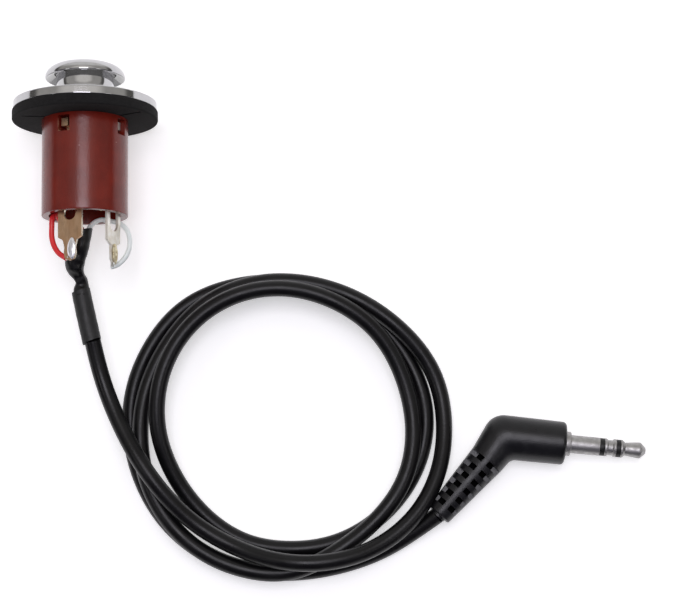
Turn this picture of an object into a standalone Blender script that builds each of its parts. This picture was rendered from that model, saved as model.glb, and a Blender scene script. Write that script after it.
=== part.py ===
"""End-pin output jack of an acoustic guitar with its lead.

The turned strap button holds the socket for a 6.35 mm plug. Its threaded spigot clamps an
insulating body, a soldering terminal and a lock washer, and two sprung contacts stand in the
body. The wired lead runs through two heat-shrink sleeves into a cable of three loose turns,
and ends in an angled 3.5 mm stereo plug. The jack lies on its gasket's rim: +Z is up, and +Y
is the jack's axis towards the button's crown.
"""

import math

import bmesh
import bpy
import numpy as np
from mathutils import Matrix, Vector

# Lengths are in millimetres and become metres where a mesh or a place is made.
MM = 0.001
GAP = 0.3
SLIM_GAP = 0.1
FINE_STEPS = 48
COARSE_STEPS = 28
SHARP_ANGLE = math.radians(32)

# Heights run along the jack's axis from the gasket's underside, towards the button's crown.
JACK_Y = 8.7
GASKET_RADIUS = 14.0
GASKET_HEIGHT = 1.74
GASKET_SLIT = 0.55
# Each slit runs between two points of the jack's frame.
GASKET_SLITS = (((7.0, 4.6), (11.3, 5.2)), ((-7.2, 4.2), (-11.5, 6.8)))
FLANGE_RADIUS = 13.86
FLANGE_BOTTOM = GASKET_HEIGHT + GAP
FLANGE_TOP = 3.68
NECK_RADIUS = 5.5
NECK_FLARE = 3.2
NECK_FILLET = 0.6
NECK_TOP = 9.5
CAP_RADIUS = 7.73
CAP_BOTTOM = 8.35
CAP_RIM = 8.7
CROWN_RADIUS = 4.2
CROWN_HEIGHT = 11.15
SOCKET_RADIUS = 3.3
SPIGOT_RADIUS = 4.3
SPIGOT_END = -8.3
SMALL_ROUND = 0.3

BODY_RADIUS = 8.25
BODY_BORE = 6.85
BODY_END = -18.73
BULKHEAD_END = -5.0
COLLAR_BORE = SPIGOT_RADIUS + GAP
SLEEVE_AZIMUTH = -24.0
TIP_AZIMUTH = 68.0
POCKET_AZIMUTHS = (SLEEVE_AZIMUTH + 2, TIP_AZIMUTH - 3, 155.0, 245.0)
POCKET_HALF = 1.45
POCKET_DEPTH = (5.15, 6.65)
POCKET_TOP = -0.4
WINDOW_HALF = 1.25
WINDOW_HEIGHTS = (-3.6, -0.5)

# Terminal strips stand as flat chords inside the bore. The fork's lies further out.
STRIP_INNER = 5.45
STRIP_OUTER = 5.95
FORK_OFFSET = 0.4
BARB_HALF = 0.8
BARB_TOP = -0.9
BARB_HEIGHTS = (-2.4, BARB_TOP)
BARB_REACH = 7.3
STRIP_HALF = 1.6
STRIP_END = -13.6
WASHER_HEIGHTS = (-5.8, -5.3)
LOCK_HEIGHTS = (-6.55, -6.1)
NUT_HEIGHTS = (SPIGOT_END, -6.85)
NUT_RADIUS = STRIP_INNER - GAP
LUG_HALF = 2.6
LUG_SHIFT = 0.35
LUG_SHOULDER = -23.6
LUG_HOLE_RADIUS = 1.3
LUG_HOLE_HEIGHT = -19.05
LUG_TAB_HALF = 1.3
LUG_TIP = -28.2
FORK_HALF = 2.5
FORK_SLOT_HALF = 1.5
FORK_SLOT_HEIGHTS = (-22.1, -16.2)
FORK_SHOULDER = -24.1
FORK_TAIL_HALF = 0.95
FORK_TIP = -28.1

CARRIER_HEIGHTS = (-13.2, -11.2)
CARRIER_BORE = 3.6
NOTCH_HALF = STRIP_HALF + GAP
NOTCH_FLOOR = 4.45
LEAF_THICKNESS = 0.4
LEAF_HALF = 0.8
LEAF_ROOT = STRIP_INNER - GAP - LEAF_THICKNESS / 2
# Each leaf is (distance outward, height) from its hinge line.
TIP_HINGE = -12.4
TIP_LEAF = ((0, 0.7), (0, -1.2), (-1.2, -2.7), (-2.35, -3.7), (-2.55, -4.0), (-2.45, -4.3), (-1.65, -5.2))
SLEEVE_HINGE = -12.0
SLEEVE_LEAF = ((0, -0.7), (0, 0.9), (-0.8, 1.35), (-1.95, 2.0), (-2.15, 2.2), (-2.05, 2.45), (-1.55, 2.9))

# The lead, in millimetres of the whole model's own axes.
RED_WIRE_DIAMETER = 1.05
RED_WIRE_ROUTE = (
    (-0.6, -11.3, 12.9), (-1.9, -11.25, 13.4), (-3.4, -11.3, 14.1), (-4.7, -10.7, 14.8),
    (-5.2, -9.8, 15.5), (-5.7, -10.3, 16.2), (-5.95, -12.2, 16.5), (-5.9, -14.5, 16.6),
    (-5.25, -16.5, 16.9), (-4.3, -17.8, 17.4), (-3.5, -18.4, 17.9),
)
WHITE_WIRE_DIAMETER = 0.95
WHITE_WIRE_ROUTE = (
    (0.85, -11.6, 12.5), (1.7, -10.95, 12.9), (2.9, -10.5, 13.1), (4.5, -10.7, 13.0),
    (6.0, -11.0, 12.7), (7.6, -12.1, 13.3), (8.35, -13.5, 13.9), (8.65, -15.3, 14.2),
    (8.25, -17.2, 14.3), (7.3, -18.7, 14.3), (5.9, -19.7, 14.3),
)
SLEEVE_DIAMETER = 3.7
UPPER_SLEEVE_ROUTE = (
    (-0.4, -12.1, 12.5), (-0.95, -14.2, 12.1), (-1.55, -16.2, 11.6), (-2.25, -18.3, 11.0),
    (-2.0, -19.9, 10.4), (-1.4, -21.6, 9.7), (-1.3, -22.6, 9.3),
)
UPPER_SLEEVE_WIDTHS = (0.86, 0.93, 1.0, 1.0, 1.0, 0.72, 0.8)
LOWER_SLEEVE_ROUTE = ((-1.5, -23.2, 9.0), (-0.9, -26.2, 8.8), (-0.2, -29.5, 8.6), (0.6, -32.8, 8.5))
CABLE_DIAMETER = 3.2
CABLE_SPACING = 8.0
TABLE_CLEARANCE = 0.05
# Each point is (x, y, lift of the cable's underside over the table), set by hand.
CABLE_ROUTE = (
    # first turn, from the heat-shrink over the other turns and round
    (0.8, -33.3, 6.9), (2.3, -39.8, 5.5), (5.9, -49.3, 5.7), (11.3, -58.8, 7.0), (19.6, -68.1, 5.0),
    (28.8, -73.6, 4.8), (38.5, -76.3, 7.0), (47.5, -76.0, 6.8), (55.2, -73.3, 5.2), (62.5, -67.4, 4.0),
    (66.9, -59.5, 2.6), (68.4, -50.5, 1.2), (66.6, -40.3, 1.3), (60.4, -31.7, 2.7), (50.9, -25.1, 3.5),
    (41.8, -22.2, 3.6), (32.3, -22.1, 3.6), (22.2, -26.1, 3.3), (14.4, -34.5, 2.6), (10.4, -43.8, 2.8),
    (9.6, -52.6, 3.2), (11.3, -61.2, 3.5), (15.3, -68.3, 3.6), (21.4, -73.9, 3.6), (29.0, -77.3, 3.6),
    (38.2, -78.0, 3.6),
    # second turn, over the bundle on its far side and under it on its near side
    (46.2, -74.8, 3.4), (54.3, -68.9, 3.6), (60.0, -61.5, 3.4), (62.3, -52.3, 2.8), (61.2, -43.2, 2.9),
    (55.6, -32.3, 4.9), (46.2, -25.8, 6.6), (37.0, -23.7, 6.9), (28.5, -25.0, 7.0), (19.4, -30.8, 6.3),
    (13.9, -40.5, 5.8), (13.1, -49.9, 4.6), (15.6, -58.3, 2.4), (21.2, -66.3, 0.6), (29.5, -72.0, 0.0),
    (38.1, -73.6, 0.0),
    # third turn, lying on the table, and the end that rises to the plug
    (47.2, -72.4, 0.0), (56.2, -67.2, 0.0), (62.7, -58.6, 0.0), (64.9, -48.5, 0.0), (62.6, -39.0, 0.0),
    (56.5, -30.3, 0.0), (47.6, -24.0, 0.0), (36.9, -21.4, 0.0), (27.0, -22.2, 0.0), (18.6, -25.7, 0.0),
    (11.4, -33.7, 0.0), (7.8, -42.9, 0.0), (7.5, -51.8, 0.0), (9.8, -60.4, 0.0), (14.3, -67.9, 0.0),
    (20.7, -73.5, 0.0), (29.0, -77.1, 0.0), (38.4, -78.1, 0.0), (48.2, -76.8, 0.0), (56.3, -74.0, 0.2),
    (62.4, -70.5, 1.3), (66.55, -67.75, 2.5),
)

# The plug's head and leg meet at the bend. Angles are about +Z, from +X.
BEND = (80.2, -53.1, 4.2)
HEAD_ANGLE = -6.4
LEG_ANGLE = -132.8
HEAD_RADIUS = 4.15
HEAD_LENGTH = 11.45
HEAD_ROUND = 0.7
# The head's back and the leg's neck lean outward by these angles, towards the outer corner.
HEAD_LEAN = 1.2
NECK_LEAN = 11.3
OUTER_FILLET = 4.0
INNER_FILLET = 1.8
STRAIGHT_START = 5.6
LEG_START_RADIUS = 3.52
LEG_END_RADIUS = 2.5
LEG_LENGTH = 19.4
RELIEF_SLOTS = 6
RELIEF_FIRST = 6.4
RELIEF_PITCH = 2.22
RELIEF_SLOT_WIDTH = 1.1
RELIEF_SPINE_HALF = 0.55
RELIEF_WEB_HALF = 0.45
BEND_STEPS = 6
COLLAR_RADIUS = 2.35
COLLAR_END = 12.5
PIN_RADIUS = 1.75
PIN_END = 27.0
RING_INSULATOR = (PIN_END - 8.85, PIN_END - 8.0)
TIP_INSULATOR = (PIN_END - 5.7, PIN_END - 4.85)
PIN_FLAT = 0.45
PIN_WAIST = 1.25


def clear_scene():
    for obj in list(bpy.data.objects):
        bpy.data.objects.remove(obj)


def add_empty(name, place, turn):
    """A frame for other objects, at a place in millimetres and with Euler angles in degrees."""
    empty = bpy.data.objects.new(name, None)
    bpy.context.collection.objects.link(empty)
    empty.location = Vector(place) * MM
    empty.rotation_euler = [math.radians(angle) for angle in turn]
    empty.empty_display_size = 5 * MM
    return empty


def add_mesh(name, shape, parent, place=(0, 0, 0), turn=0.0):
    """Turns a bmesh into an object. Place is in millimetres and turn is degrees about the parent's Z."""
    bmesh.ops.recalc_face_normals(shape, faces=shape.faces[:])
    mesh = bpy.data.meshes.new(name)
    shape.to_mesh(mesh)
    shape.free()
    mesh.shade_smooth()
    mesh.set_sharp_from_angle(angle=SHARP_ANGLE)
    obj = bpy.data.objects.new(name, mesh)
    bpy.context.collection.objects.link(obj)
    obj.parent = parent
    obj.location = Vector(place) * MM
    obj.rotation_euler.z = math.radians(turn)
    return obj


def paint(obj, colour, roughness, metallic=0.0):
    material = bpy.data.materials.new(obj.name + "_finish")
    material.use_nodes = True
    shader = material.node_tree.nodes["Principled BSDF"]
    shader.inputs["Base Color"].default_value = (*colour, 1.0)
    shader.inputs["Roughness"].default_value = roughness
    shader.inputs["Metallic"].default_value = metallic
    obj.data.materials.append(material)


def arc(centre, radius, start, end, count):
    """Points on an arc about centre, from the start angle to the end angle in degrees."""
    angles = np.radians(np.linspace(start, end, count))
    return [(centre[0] + radius * math.cos(a), centre[1] + radius * math.sin(a)) for a in angles]


def turned(profile, steps=FINE_STEPS):
    """A bmesh turned about Z from (radius, height) points. A profile off the axis is closed."""
    shape = bmesh.new()
    verts = [shape.verts.new((r * MM, 0, h * MM)) for r, h in profile]
    pairs = list(zip(verts, verts[1:]))
    if min(r for r, _ in profile) > 0:
        pairs.append((verts[-1], verts[0]))
    edges = [shape.edges.new(pair) for pair in pairs]
    bmesh.ops.spin(
        shape, geom=verts + edges, cent=(0, 0, 0), axis=(0, 0, 1), angle=math.tau, steps=steps
    )
    bmesh.ops.remove_doubles(shape, verts=shape.verts[:], dist=0.001 * MM)
    return shape


def ring(inner, outer, heights, steps=FINE_STEPS):
    """A turned ring of rectangular section between two heights."""
    low, high = heights
    return turned([(outer, high), (outer, low), (inner, low), (inner, high)], steps)


def slab(outline, near, far, axis="y"):
    """A bmesh extruded from an outline. The outline is (x, z) along y, or (y, z) along x."""
    shape = bmesh.new()
    if axis == "y":
        corners = [(a * MM, near * MM, b * MM) for a, b in outline]
        push = Vector((0, (far - near) * MM, 0))
    else:
        corners = [(near * MM, a * MM, b * MM) for a, b in outline]
        push = Vector(((far - near) * MM, 0, 0))
    face = shape.faces.new([shape.verts.new(corner) for corner in corners])
    grown = bmesh.ops.extrude_face_region(shape, geom=[face])["geom"]
    moved = [item for item in grown if isinstance(item, bmesh.types.BMVert)]
    bmesh.ops.translate(shape, verts=moved, vec=push)
    return shape


def add_box(shape, low, high, matrix=Matrix()):
    """Adds to a bmesh a box between two corners, moved by a matrix."""
    size = [(h - l) * MM for l, h in zip(low, high)]
    centre = [(h + l) * MM / 2 for l, h in zip(low, high)]
    place = matrix @ Matrix.Translation(centre) @ Matrix.Diagonal((*size, 1.0))
    bmesh.ops.create_cube(shape, size=1.0, matrix=place)


def cut(target, name, shape, **place):
    """Cuts a bmesh out of the target through a hidden cutter object."""
    cutter = add_mesh(name, shape, target.parent, **place)
    cutter.hide_render = True
    cutter.display_type = "WIRE"
    boolean = target.modifiers.new(name, "BOOLEAN")
    boolean.operation = "DIFFERENCE"
    boolean.object = cutter


def join(target, name, shape, **place):
    """Unites a bmesh with the target through a hidden helper object."""
    helper = add_mesh(name, shape, target.parent, **place)
    helper.hide_render = True
    helper.display_type = "WIRE"
    boolean = target.modifiers.new(name, "BOOLEAN")
    boolean.operation = "UNION"
    boolean.object = helper


def azimuth_turn(azimuth):
    return Matrix.Rotation(math.radians(azimuth), 4, "Z")


def on_axis(azimuth, radius, height):
    """A place in the jack's frame. Azimuth is from straight up towards the model's +X."""
    angle = math.radians(azimuth)
    return (-radius * math.sin(angle), radius * math.cos(angle), height)


def spline_points(route, spacing):
    """Evenly spaced points along the natural cubic spline through the route."""
    knots = np.array(route, float)
    chords = np.linalg.norm(np.diff(knots, axis=0), axis=1)
    system = np.eye(len(knots))
    slopes = np.zeros_like(knots)
    for i in range(1, len(knots) - 1):
        before, after = chords[i - 1], chords[i]
        system[i, i - 1 : i + 2] = before, 2 * (before + after), after
        slopes[i] = 6 * ((knots[i + 1] - knots[i]) / after - (knots[i] - knots[i - 1]) / before)
    bends = np.linalg.solve(system, slopes)
    fine = []
    for i, chord in enumerate(chords):
        for t in np.linspace(0, chord, 24, endpoint=False):
            rest = chord - t
            curve = (bends[i] * rest**3 + bends[i + 1] * t**3) / (6 * chord)
            start = (knots[i] / chord - bends[i] * chord / 6) * rest
            end = (knots[i + 1] / chord - bends[i + 1] * chord / 6) * t
            fine.append(curve + start + end)
    fine = np.array(fine + [knots[-1]])
    along = np.concatenate([[0], np.cumsum(np.linalg.norm(np.diff(fine, axis=0), axis=1))])
    wanted = np.linspace(0, along[-1], max(3, round(along[-1] / spacing) + 1))
    return np.stack([np.interp(wanted, along, fine[:, k]) for k in range(3)], axis=1)


def tube(name, route, diameter, spacing, widths=None):
    """A curve with filled ends along the spline through a route. Widths scale it along its length."""
    points = spline_points(route, spacing)
    curve = bpy.data.curves.new(name, "CURVE")
    curve.dimensions = "3D"
    curve.bevel_depth = diameter / 2 * MM
    curve.bevel_resolution = 2
    curve.use_fill_caps = True
    spline = curve.splines.new("POLY")
    spline.points.add(len(points) - 1)
    for i, (target, point) in enumerate(zip(spline.points, points)):
        target.co = (*(point * MM), 1.0)
        if widths:
            at = i / (len(points) - 1) * (len(widths) - 1)
            target.radius = float(np.interp(at, range(len(widths)), widths))
    obj = bpy.data.objects.new(name, curve)
    bpy.context.collection.objects.link(obj)
    return obj


def ribbon(path, thickness):
    """The outline of a strip of the given thickness along a path of (outward, height) points."""
    points = [Vector(point) for point in path]
    left, right = [], []
    for i, point in enumerate(points):
        before = (point - points[i - 1]).normalized() if i else None
        after = (points[i + 1] - point).normalized() if i < len(points) - 1 else None
        along = ((before or after) + (after or before)).normalized()
        stretch = 1 / along.dot(after or before)
        side = Vector((-along.y, along.x)) * (thickness / 2 * stretch)
        left.append(point + side)
        right.append(point - side)
    return left + right[::-1]


def strap_button(jack):
    rim = CAP_RADIUS - CROWN_RADIUS
    dome = [
        (CROWN_RADIUS + rim * math.sin(t), CAP_RIM + (CROWN_HEIGHT - CAP_RIM) * math.cos(t))
        for t in np.linspace(0, math.pi / 2, 9)
    ]
    profile = [(SOCKET_RADIUS + SMALL_ROUND, CROWN_HEIGHT)]
    profile += dome
    profile += arc((CAP_RADIUS - SMALL_ROUND, CAP_BOTTOM + SMALL_ROUND), SMALL_ROUND, 0, -90, 4)
    profile += arc((NECK_RADIUS + NECK_FILLET, NECK_TOP - NECK_FILLET), NECK_FILLET, 90, 180, 5)
    profile += arc((NECK_RADIUS + NECK_FLARE, FLANGE_TOP + NECK_FLARE), NECK_FLARE, 180, 270, 6)
    profile += arc((FLANGE_RADIUS - SMALL_ROUND, FLANGE_TOP - SMALL_ROUND), SMALL_ROUND, 90, 0, 4)
    profile += arc((FLANGE_RADIUS - SMALL_ROUND, FLANGE_BOTTOM + SMALL_ROUND), SMALL_ROUND, 0, -90, 3)
    profile += [(SPIGOT_RADIUS, FLANGE_BOTTOM), (SPIGOT_RADIUS, SPIGOT_END), (SOCKET_RADIUS, SPIGOT_END)]
    profile += [(SOCKET_RADIUS, CROWN_HEIGHT - SMALL_ROUND)]
    obj = add_mesh("strap_button", turned(profile), jack)
    paint(obj, (0.72, 0.73, 0.74), 0.12, 1.0)


def foam_gasket(jack):
    shape = ring(BODY_RADIUS + GAP, GASKET_RADIUS, (0, GASKET_HEIGHT))
    obj = add_mesh("foam_gasket", shape, jack)
    slits = bmesh.new()
    for start, end in GASKET_SLITS:
        run = Vector(end) - Vector(start)
        turn = Matrix.Rotation(math.atan2(run.y, run.x), 4, "Z")
        place = Matrix.Translation((start[0] * MM, start[1] * MM, 0)) @ turn
        low, high = (0, -GASKET_SLIT / 2, -1.0), (run.length, GASKET_SLIT / 2, GASKET_HEIGHT / 2)
        add_box(slits, low, high, place)
    cut(obj, "gasket_slit_cutter", slits)
    paint(obj, (0.02, 0.02, 0.02), 0.9)


def jack_body(jack):
    profile = [(COLLAR_BORE, GASKET_HEIGHT), (BODY_RADIUS, GASKET_HEIGHT)]
    profile += [(BODY_RADIUS, BODY_END + SMALL_ROUND / 2), (BODY_RADIUS - SMALL_ROUND / 2, BODY_END)]
    profile += [(BODY_BORE, BODY_END), (BODY_BORE, BULKHEAD_END), (COLLAR_BORE, BULKHEAD_END)]
    obj = add_mesh("jack_body", turned(profile), jack)
    pockets, windows = bmesh.new(), bmesh.new()
    for azimuth in POCKET_AZIMUTHS:
        low = (-POCKET_HALF, POCKET_DEPTH[0], BULKHEAD_END - 1)
        high = (POCKET_HALF, POCKET_DEPTH[1], POCKET_TOP)
        add_box(pockets, low, high, azimuth_turn(azimuth))
        low = (-WINDOW_HALF, POCKET_DEPTH[1] - 0.5, WINDOW_HEIGHTS[0])
        high = (WINDOW_HALF, BODY_RADIUS + 1, WINDOW_HEIGHTS[1])
        add_box(windows, low, high, azimuth_turn(azimuth))
    cut(obj, "body_pocket_cutter", pockets)
    cut(obj, "body_window_cutter", windows)
    paint(obj, (0.13, 0.025, 0.02), 0.35)


def strip_outline(blade):
    """Half of a terminal's outline: the narrow stem at its window, the strip, then the blade's points."""
    stem = [(BARB_HALF, BARB_TOP), (BARB_HALF, WASHER_HEIGHTS[0] - 0.5)]
    strip = [(STRIP_HALF, WASHER_HEIGHTS[0] - 1.2), (STRIP_HALF, STRIP_END)]
    return stem + strip + blade


def mirrored(half, shift=0.0):
    """A whole outline from the half at +x, with the blade's points moved sideways."""
    moved = [(x, z, -shift if z < STRIP_END else 0.0) for x, z in half]
    right = [(x + s, z) for x, z, s in moved]
    left = [(-x + s, z) for x, z, s in moved if x > 1e-6]
    return right + left[::-1]


def barb(root):
    """The block that stands in a window of the body and holds a strip there."""
    shape = bmesh.new()
    half = BARB_HALF - 0.1
    add_box(shape, (-half, root, BARB_HEIGHTS[0]), (half, BARB_REACH, BARB_HEIGHTS[1]))
    return shape


def sleeve_terminal(jack):
    blade = [(STRIP_HALF, -14.8), (LUG_HALF, -15.8), (LUG_HALF, LUG_SHOULDER), (1.6, LUG_SHOULDER - 0.3)]
    blade += [(LUG_TAB_HALF, LUG_SHOULDER - 1.1)]
    blade += arc((0, LUG_TIP + LUG_TAB_HALF), LUG_TAB_HALF, 0, -90, 5)[:-1] + [(0.0, LUG_TIP)]
    outline = mirrored(strip_outline(blade), LUG_SHIFT)
    obj = add_mesh("sleeve_terminal", slab(outline, STRIP_INNER, STRIP_OUTER), jack, turn=SLEEVE_AZIMUTH)
    hole = arc((-LUG_SHIFT, LUG_HOLE_HEIGHT), LUG_HOLE_RADIUS, 0, 345, 24)
    cut(obj, "lug_hole_cutter", slab(hole, STRIP_INNER - 1, STRIP_OUTER + 1), turn=SLEEVE_AZIMUTH)
    washer = ring(COLLAR_BORE, NUT_RADIUS, WASHER_HEIGHTS, COARSE_STEPS)
    join(obj, "sleeve_terminal_washer", washer)
    arm = bmesh.new()
    middle = (STRIP_INNER + STRIP_OUTER) / 2
    add_box(arm, (-0.8, COLLAR_BORE + 0.15, WASHER_HEIGHTS[0]), (0.8, middle, WASHER_HEIGHTS[1]))
    join(obj, "sleeve_terminal_arm", arm, turn=SLEEVE_AZIMUTH)
    join(obj, "sleeve_terminal_barb", barb(middle), turn=SLEEVE_AZIMUTH)
    paint(obj, (0.55, 0.38, 0.22), 0.3, 1.0)


def tip_terminal(jack):
    blade = [(STRIP_HALF, -14.4), (FORK_HALF, -15.2), (FORK_HALF, FORK_SHOULDER)]
    blade += [(FORK_TAIL_HALF, FORK_SHOULDER - 0.4), (FORK_TAIL_HALF, FORK_TIP + 0.5)]
    blade += [(FORK_TAIL_HALF - 0.5, FORK_TIP)]
    outline = mirrored(strip_outline(blade))
    near, far = STRIP_INNER + FORK_OFFSET, STRIP_OUTER + FORK_OFFSET
    obj = add_mesh("tip_terminal", slab(outline, near, far), jack, turn=TIP_AZIMUTH)
    low, high = FORK_SLOT_HEIGHTS
    slot = arc((0, low + FORK_SLOT_HALF), FORK_SLOT_HALF, 180, 360, 13)
    slot += [(FORK_SLOT_HALF, high), (-FORK_SLOT_HALF, high)]
    cut(obj, "fork_slot_cutter", slab(slot, near - 1, far + 1), turn=TIP_AZIMUTH)
    join(obj, "tip_terminal_barb", barb((near + far) / 2), turn=TIP_AZIMUTH)
    paint(obj, (0.74, 0.72, 0.68), 0.3, 1.0)


def lock_washer(jack):
    shape = ring(COLLAR_BORE, NUT_RADIUS - 0.4, LOCK_HEIGHTS, COARSE_STEPS)
    obj = add_mesh("lock_washer", shape, jack)
    teeth = bmesh.new()
    for k in range(12):
        low, high = LOCK_HEIGHTS
        add_box(teeth, (-0.3, NUT_RADIUS - 0.7, low), (0.3, NUT_RADIUS, high), azimuth_turn(30 * k))
    join(obj, "lock_washer_teeth", teeth)
    paint(obj, (0.5, 0.5, 0.5), 0.4, 1.0)


def retaining_nut(jack):
    obj = add_mesh("retaining_nut", ring(COLLAR_BORE, NUT_RADIUS, NUT_HEIGHTS, COARSE_STEPS), jack)
    slots = bmesh.new()
    low = NUT_HEIGHTS[0]
    for k in range(4):
        turn = azimuth_turn(20 + 90 * k)
        add_box(slots, (-0.6, COLLAR_BORE - 1, low - 1), (0.6, NUT_RADIUS + 1, low + 0.6), turn)
    cut(obj, "nut_slot_cutter", slots)
    paint(obj, (0.6, 0.5, 0.32), 0.35, 1.0)


def contact_carrier(jack):
    obj = add_mesh("contact_carrier", ring(CARRIER_BORE, BODY_BORE - GAP, CARRIER_HEIGHTS), jack)
    notches = bmesh.new()
    for azimuth in (SLEEVE_AZIMUTH, TIP_AZIMUTH):
        low = (-NOTCH_HALF, NOTCH_FLOOR, CARRIER_HEIGHTS[0] - 1)
        high = (NOTCH_HALF, BODY_RADIUS, CARRIER_HEIGHTS[1] + 1)
        add_box(notches, low, high, azimuth_turn(azimuth))
    cut(obj, "carrier_notch_cutter", notches)
    paint(obj, (0.05, 0.05, 0.05), 0.5)


def contact_spring(jack, name, azimuth, hinge, leaf):
    """A bent leaf whose origin is its hinge line, with +x along that line."""
    shape = slab(ribbon(leaf, LEAF_THICKNESS), -LEAF_HALF, LEAF_HALF, axis="x")
    obj = add_mesh(name, shape, jack, on_axis(azimuth, LEAF_ROOT, hinge), azimuth)
    paint(obj, (0.75, 0.68, 0.5), 0.25, 1.0)


def solder_joint(jack, name, azimuth, face, height, half_size, shift=0.0):
    """A flattened bead on a terminal's outer face. Half sizes are across, outward and along."""
    shape = bmesh.new()
    bmesh.ops.create_uvsphere(shape, u_segments=12, v_segments=8, radius=1.0)
    bmesh.ops.scale(shape, verts=shape.verts[:], vec=[size * MM for size in half_size])
    bmesh.ops.translate(shape, verts=shape.verts[:], vec=(-shift * MM, 0, 0))
    place = on_axis(azimuth, face + SLIM_GAP + half_size[1], height)
    obj = add_mesh(name, shape, jack, place, azimuth)
    paint(obj, (0.8, 0.8, 0.82), 0.2, 1.0)


def wires_and_sleeves():
    red = tube("red_wire", RED_WIRE_ROUTE, RED_WIRE_DIAMETER, 0.9)
    paint(red, (0.6, 0.02, 0.025), 0.4)
    white = tube("white_wire", WHITE_WIRE_ROUTE, WHITE_WIRE_DIAMETER, 1.0)
    paint(white, (0.5, 0.57, 0.62), 0.4)
    upper = tube("upper_shrink_sleeve", UPPER_SLEEVE_ROUTE, SLEEVE_DIAMETER, 1.2, UPPER_SLEEVE_WIDTHS)
    paint(upper, (0.012, 0.012, 0.013), 0.35)
    lower = tube("lower_shrink_sleeve", LOWER_SLEEVE_ROUTE, SLEEVE_DIAMETER, 3.0)
    paint(lower, (0.012, 0.012, 0.013), 0.45)


def signal_cable():
    height = CABLE_DIAMETER / 2 + TABLE_CLEARANCE
    route = [(x, y, lift + height) for x, y, lift in CABLE_ROUTE]
    cable = tube("signal_cable", route, CABLE_DIAMETER, CABLE_SPACING)
    paint(cable, (0.014, 0.014, 0.015), 0.4)


def direction(angle):
    return Vector((math.cos(math.radians(angle)), math.sin(math.radians(angle)), 0))


def corner_arc(first, second, radius, shares):
    """Points on the fillet between two lines, each (a point, the direction away from their corner)."""
    start, along = first
    other, away = second
    gap = other - start
    corner = start + along * ((gap.x * away.y - gap.y * away.x) / (along.x * away.y - along.y * away.x))
    half = along.angle(away) / 2
    centre = corner + (along + away).normalized() * (radius / math.sin(half))
    run = radius / math.tan(half)
    near, far = corner + along * run - centre, corner + away * run - centre
    return [centre + near.slerp(far, share).normalized() * radius for share in shares]


def bend_contours(steps):
    """The moulding's outer and inner outlines round the bend, as point pairs from the head to the leg."""
    head, leg = direction(HEAD_ANGLE), direction(LEG_ANGLE)
    head_side, leg_side = direction(HEAD_ANGLE + 90), direction(LEG_ANGLE - 90)
    back = (head * HEAD_LENGTH + head_side * HEAD_RADIUS, direction(HEAD_ANGLE - HEAD_LEAN))
    neck = (leg * STRAIGHT_START + leg_side * LEG_START_RADIUS, direction(LEG_ANGLE + NECK_LEAN))
    belly = (head * HEAD_LENGTH - head_side * HEAD_RADIUS, head)
    under = (leg * STRAIGHT_START - leg_side * LEG_START_RADIUS, leg)
    shares = [step / steps for step in range(steps + 1)]
    outer = corner_arc(back, neck, OUTER_FILLET, shares)
    inner = corner_arc(belly, under, INNER_FILLET, shares)
    pairs = []
    for share in shares[1:-1]:
        pairs.append((back[0].lerp(outer[0], share), belly[0].lerp(inner[0], share)))
    pairs += zip(outer, inner)
    for share in shares[1:-1]:
        pairs.append((outer[-1].lerp(neck[0], share), inner[-1].lerp(under[0], share)))
    return pairs


def overmould_rings():
    """Rings from the head's end to the leg's: (centre, side, half width, half height)."""
    head, leg = direction(HEAD_ANGLE), direction(LEG_ANGLE)
    head_side, leg_side = direction(HEAD_ANGLE + 90), direction(LEG_ANGLE - 90)
    rings = []
    for x, y in arc((HEAD_LENGTH - HEAD_ROUND, HEAD_RADIUS - HEAD_ROUND), HEAD_ROUND, 0, 90, 4):
        rings.append((head * x, head_side, y, y))
    pairs = bend_contours(BEND_STEPS)
    for step, (far, near) in enumerate(pairs, 1):
        height = HEAD_RADIUS + (LEG_START_RADIUS - HEAD_RADIUS) * step / len(pairs)
        rings.append(((far + near) / 2, (far - near).normalized(), (far - near).length / 2, height))
    rings.append((leg * STRAIGHT_START, leg_side, LEG_START_RADIUS, LEG_START_RADIUS))
    rings.append((leg * (LEG_LENGTH - 0.2), leg_side, LEG_END_RADIUS, LEG_END_RADIUS))
    rings.append((leg * LEG_LENGTH, leg_side, LEG_END_RADIUS - 0.2, LEG_END_RADIUS - 0.2))
    return rings


def plug_overmould(plug):
    shape = bmesh.new()
    loops = []
    for centre, side, width, height in overmould_rings():
        loop = []
        for step in range(COARSE_STEPS):
            angle = math.tau * step / COARSE_STEPS
            offset = side * (width * math.cos(angle)) + Vector((0, 0, height * math.sin(angle)))
            loop.append(shape.verts.new((centre + offset) * MM))
        loops.append(loop)
    for first, second in zip(loops, loops[1:]):
        for k in range(COARSE_STEPS):
            n = (k + 1) % COARSE_STEPS
            shape.faces.new((first[k], first[n], second[n], second[k]))
    shape.faces.new(loops[0])
    shape.faces.new(loops[-1][::-1])
    obj = add_mesh("plug_overmould", shape, plug)
    slots = bmesh.new()
    turn = Matrix.Rotation(math.radians(LEG_ANGLE), 4, "Z")
    reach = HEAD_RADIUS + 1
    for k in range(RELIEF_SLOTS):
        start = RELIEF_FIRST + RELIEF_PITCH * k - RELIEF_SLOT_WIDTH / 2
        for across in ((-reach, -RELIEF_SPINE_HALF), (RELIEF_SPINE_HALF, reach)):
            for up in ((-reach, -RELIEF_WEB_HALF), (RELIEF_WEB_HALF, reach)):
                low = (start, across[0], up[0])
                high = (start + RELIEF_SLOT_WIDTH, across[1], up[1])
                add_box(slots, low, high, turn)
    cut(obj, "relief_slot_cutter", slots)
    paint(obj, (0.016, 0.016, 0.018), 0.45)


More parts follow.
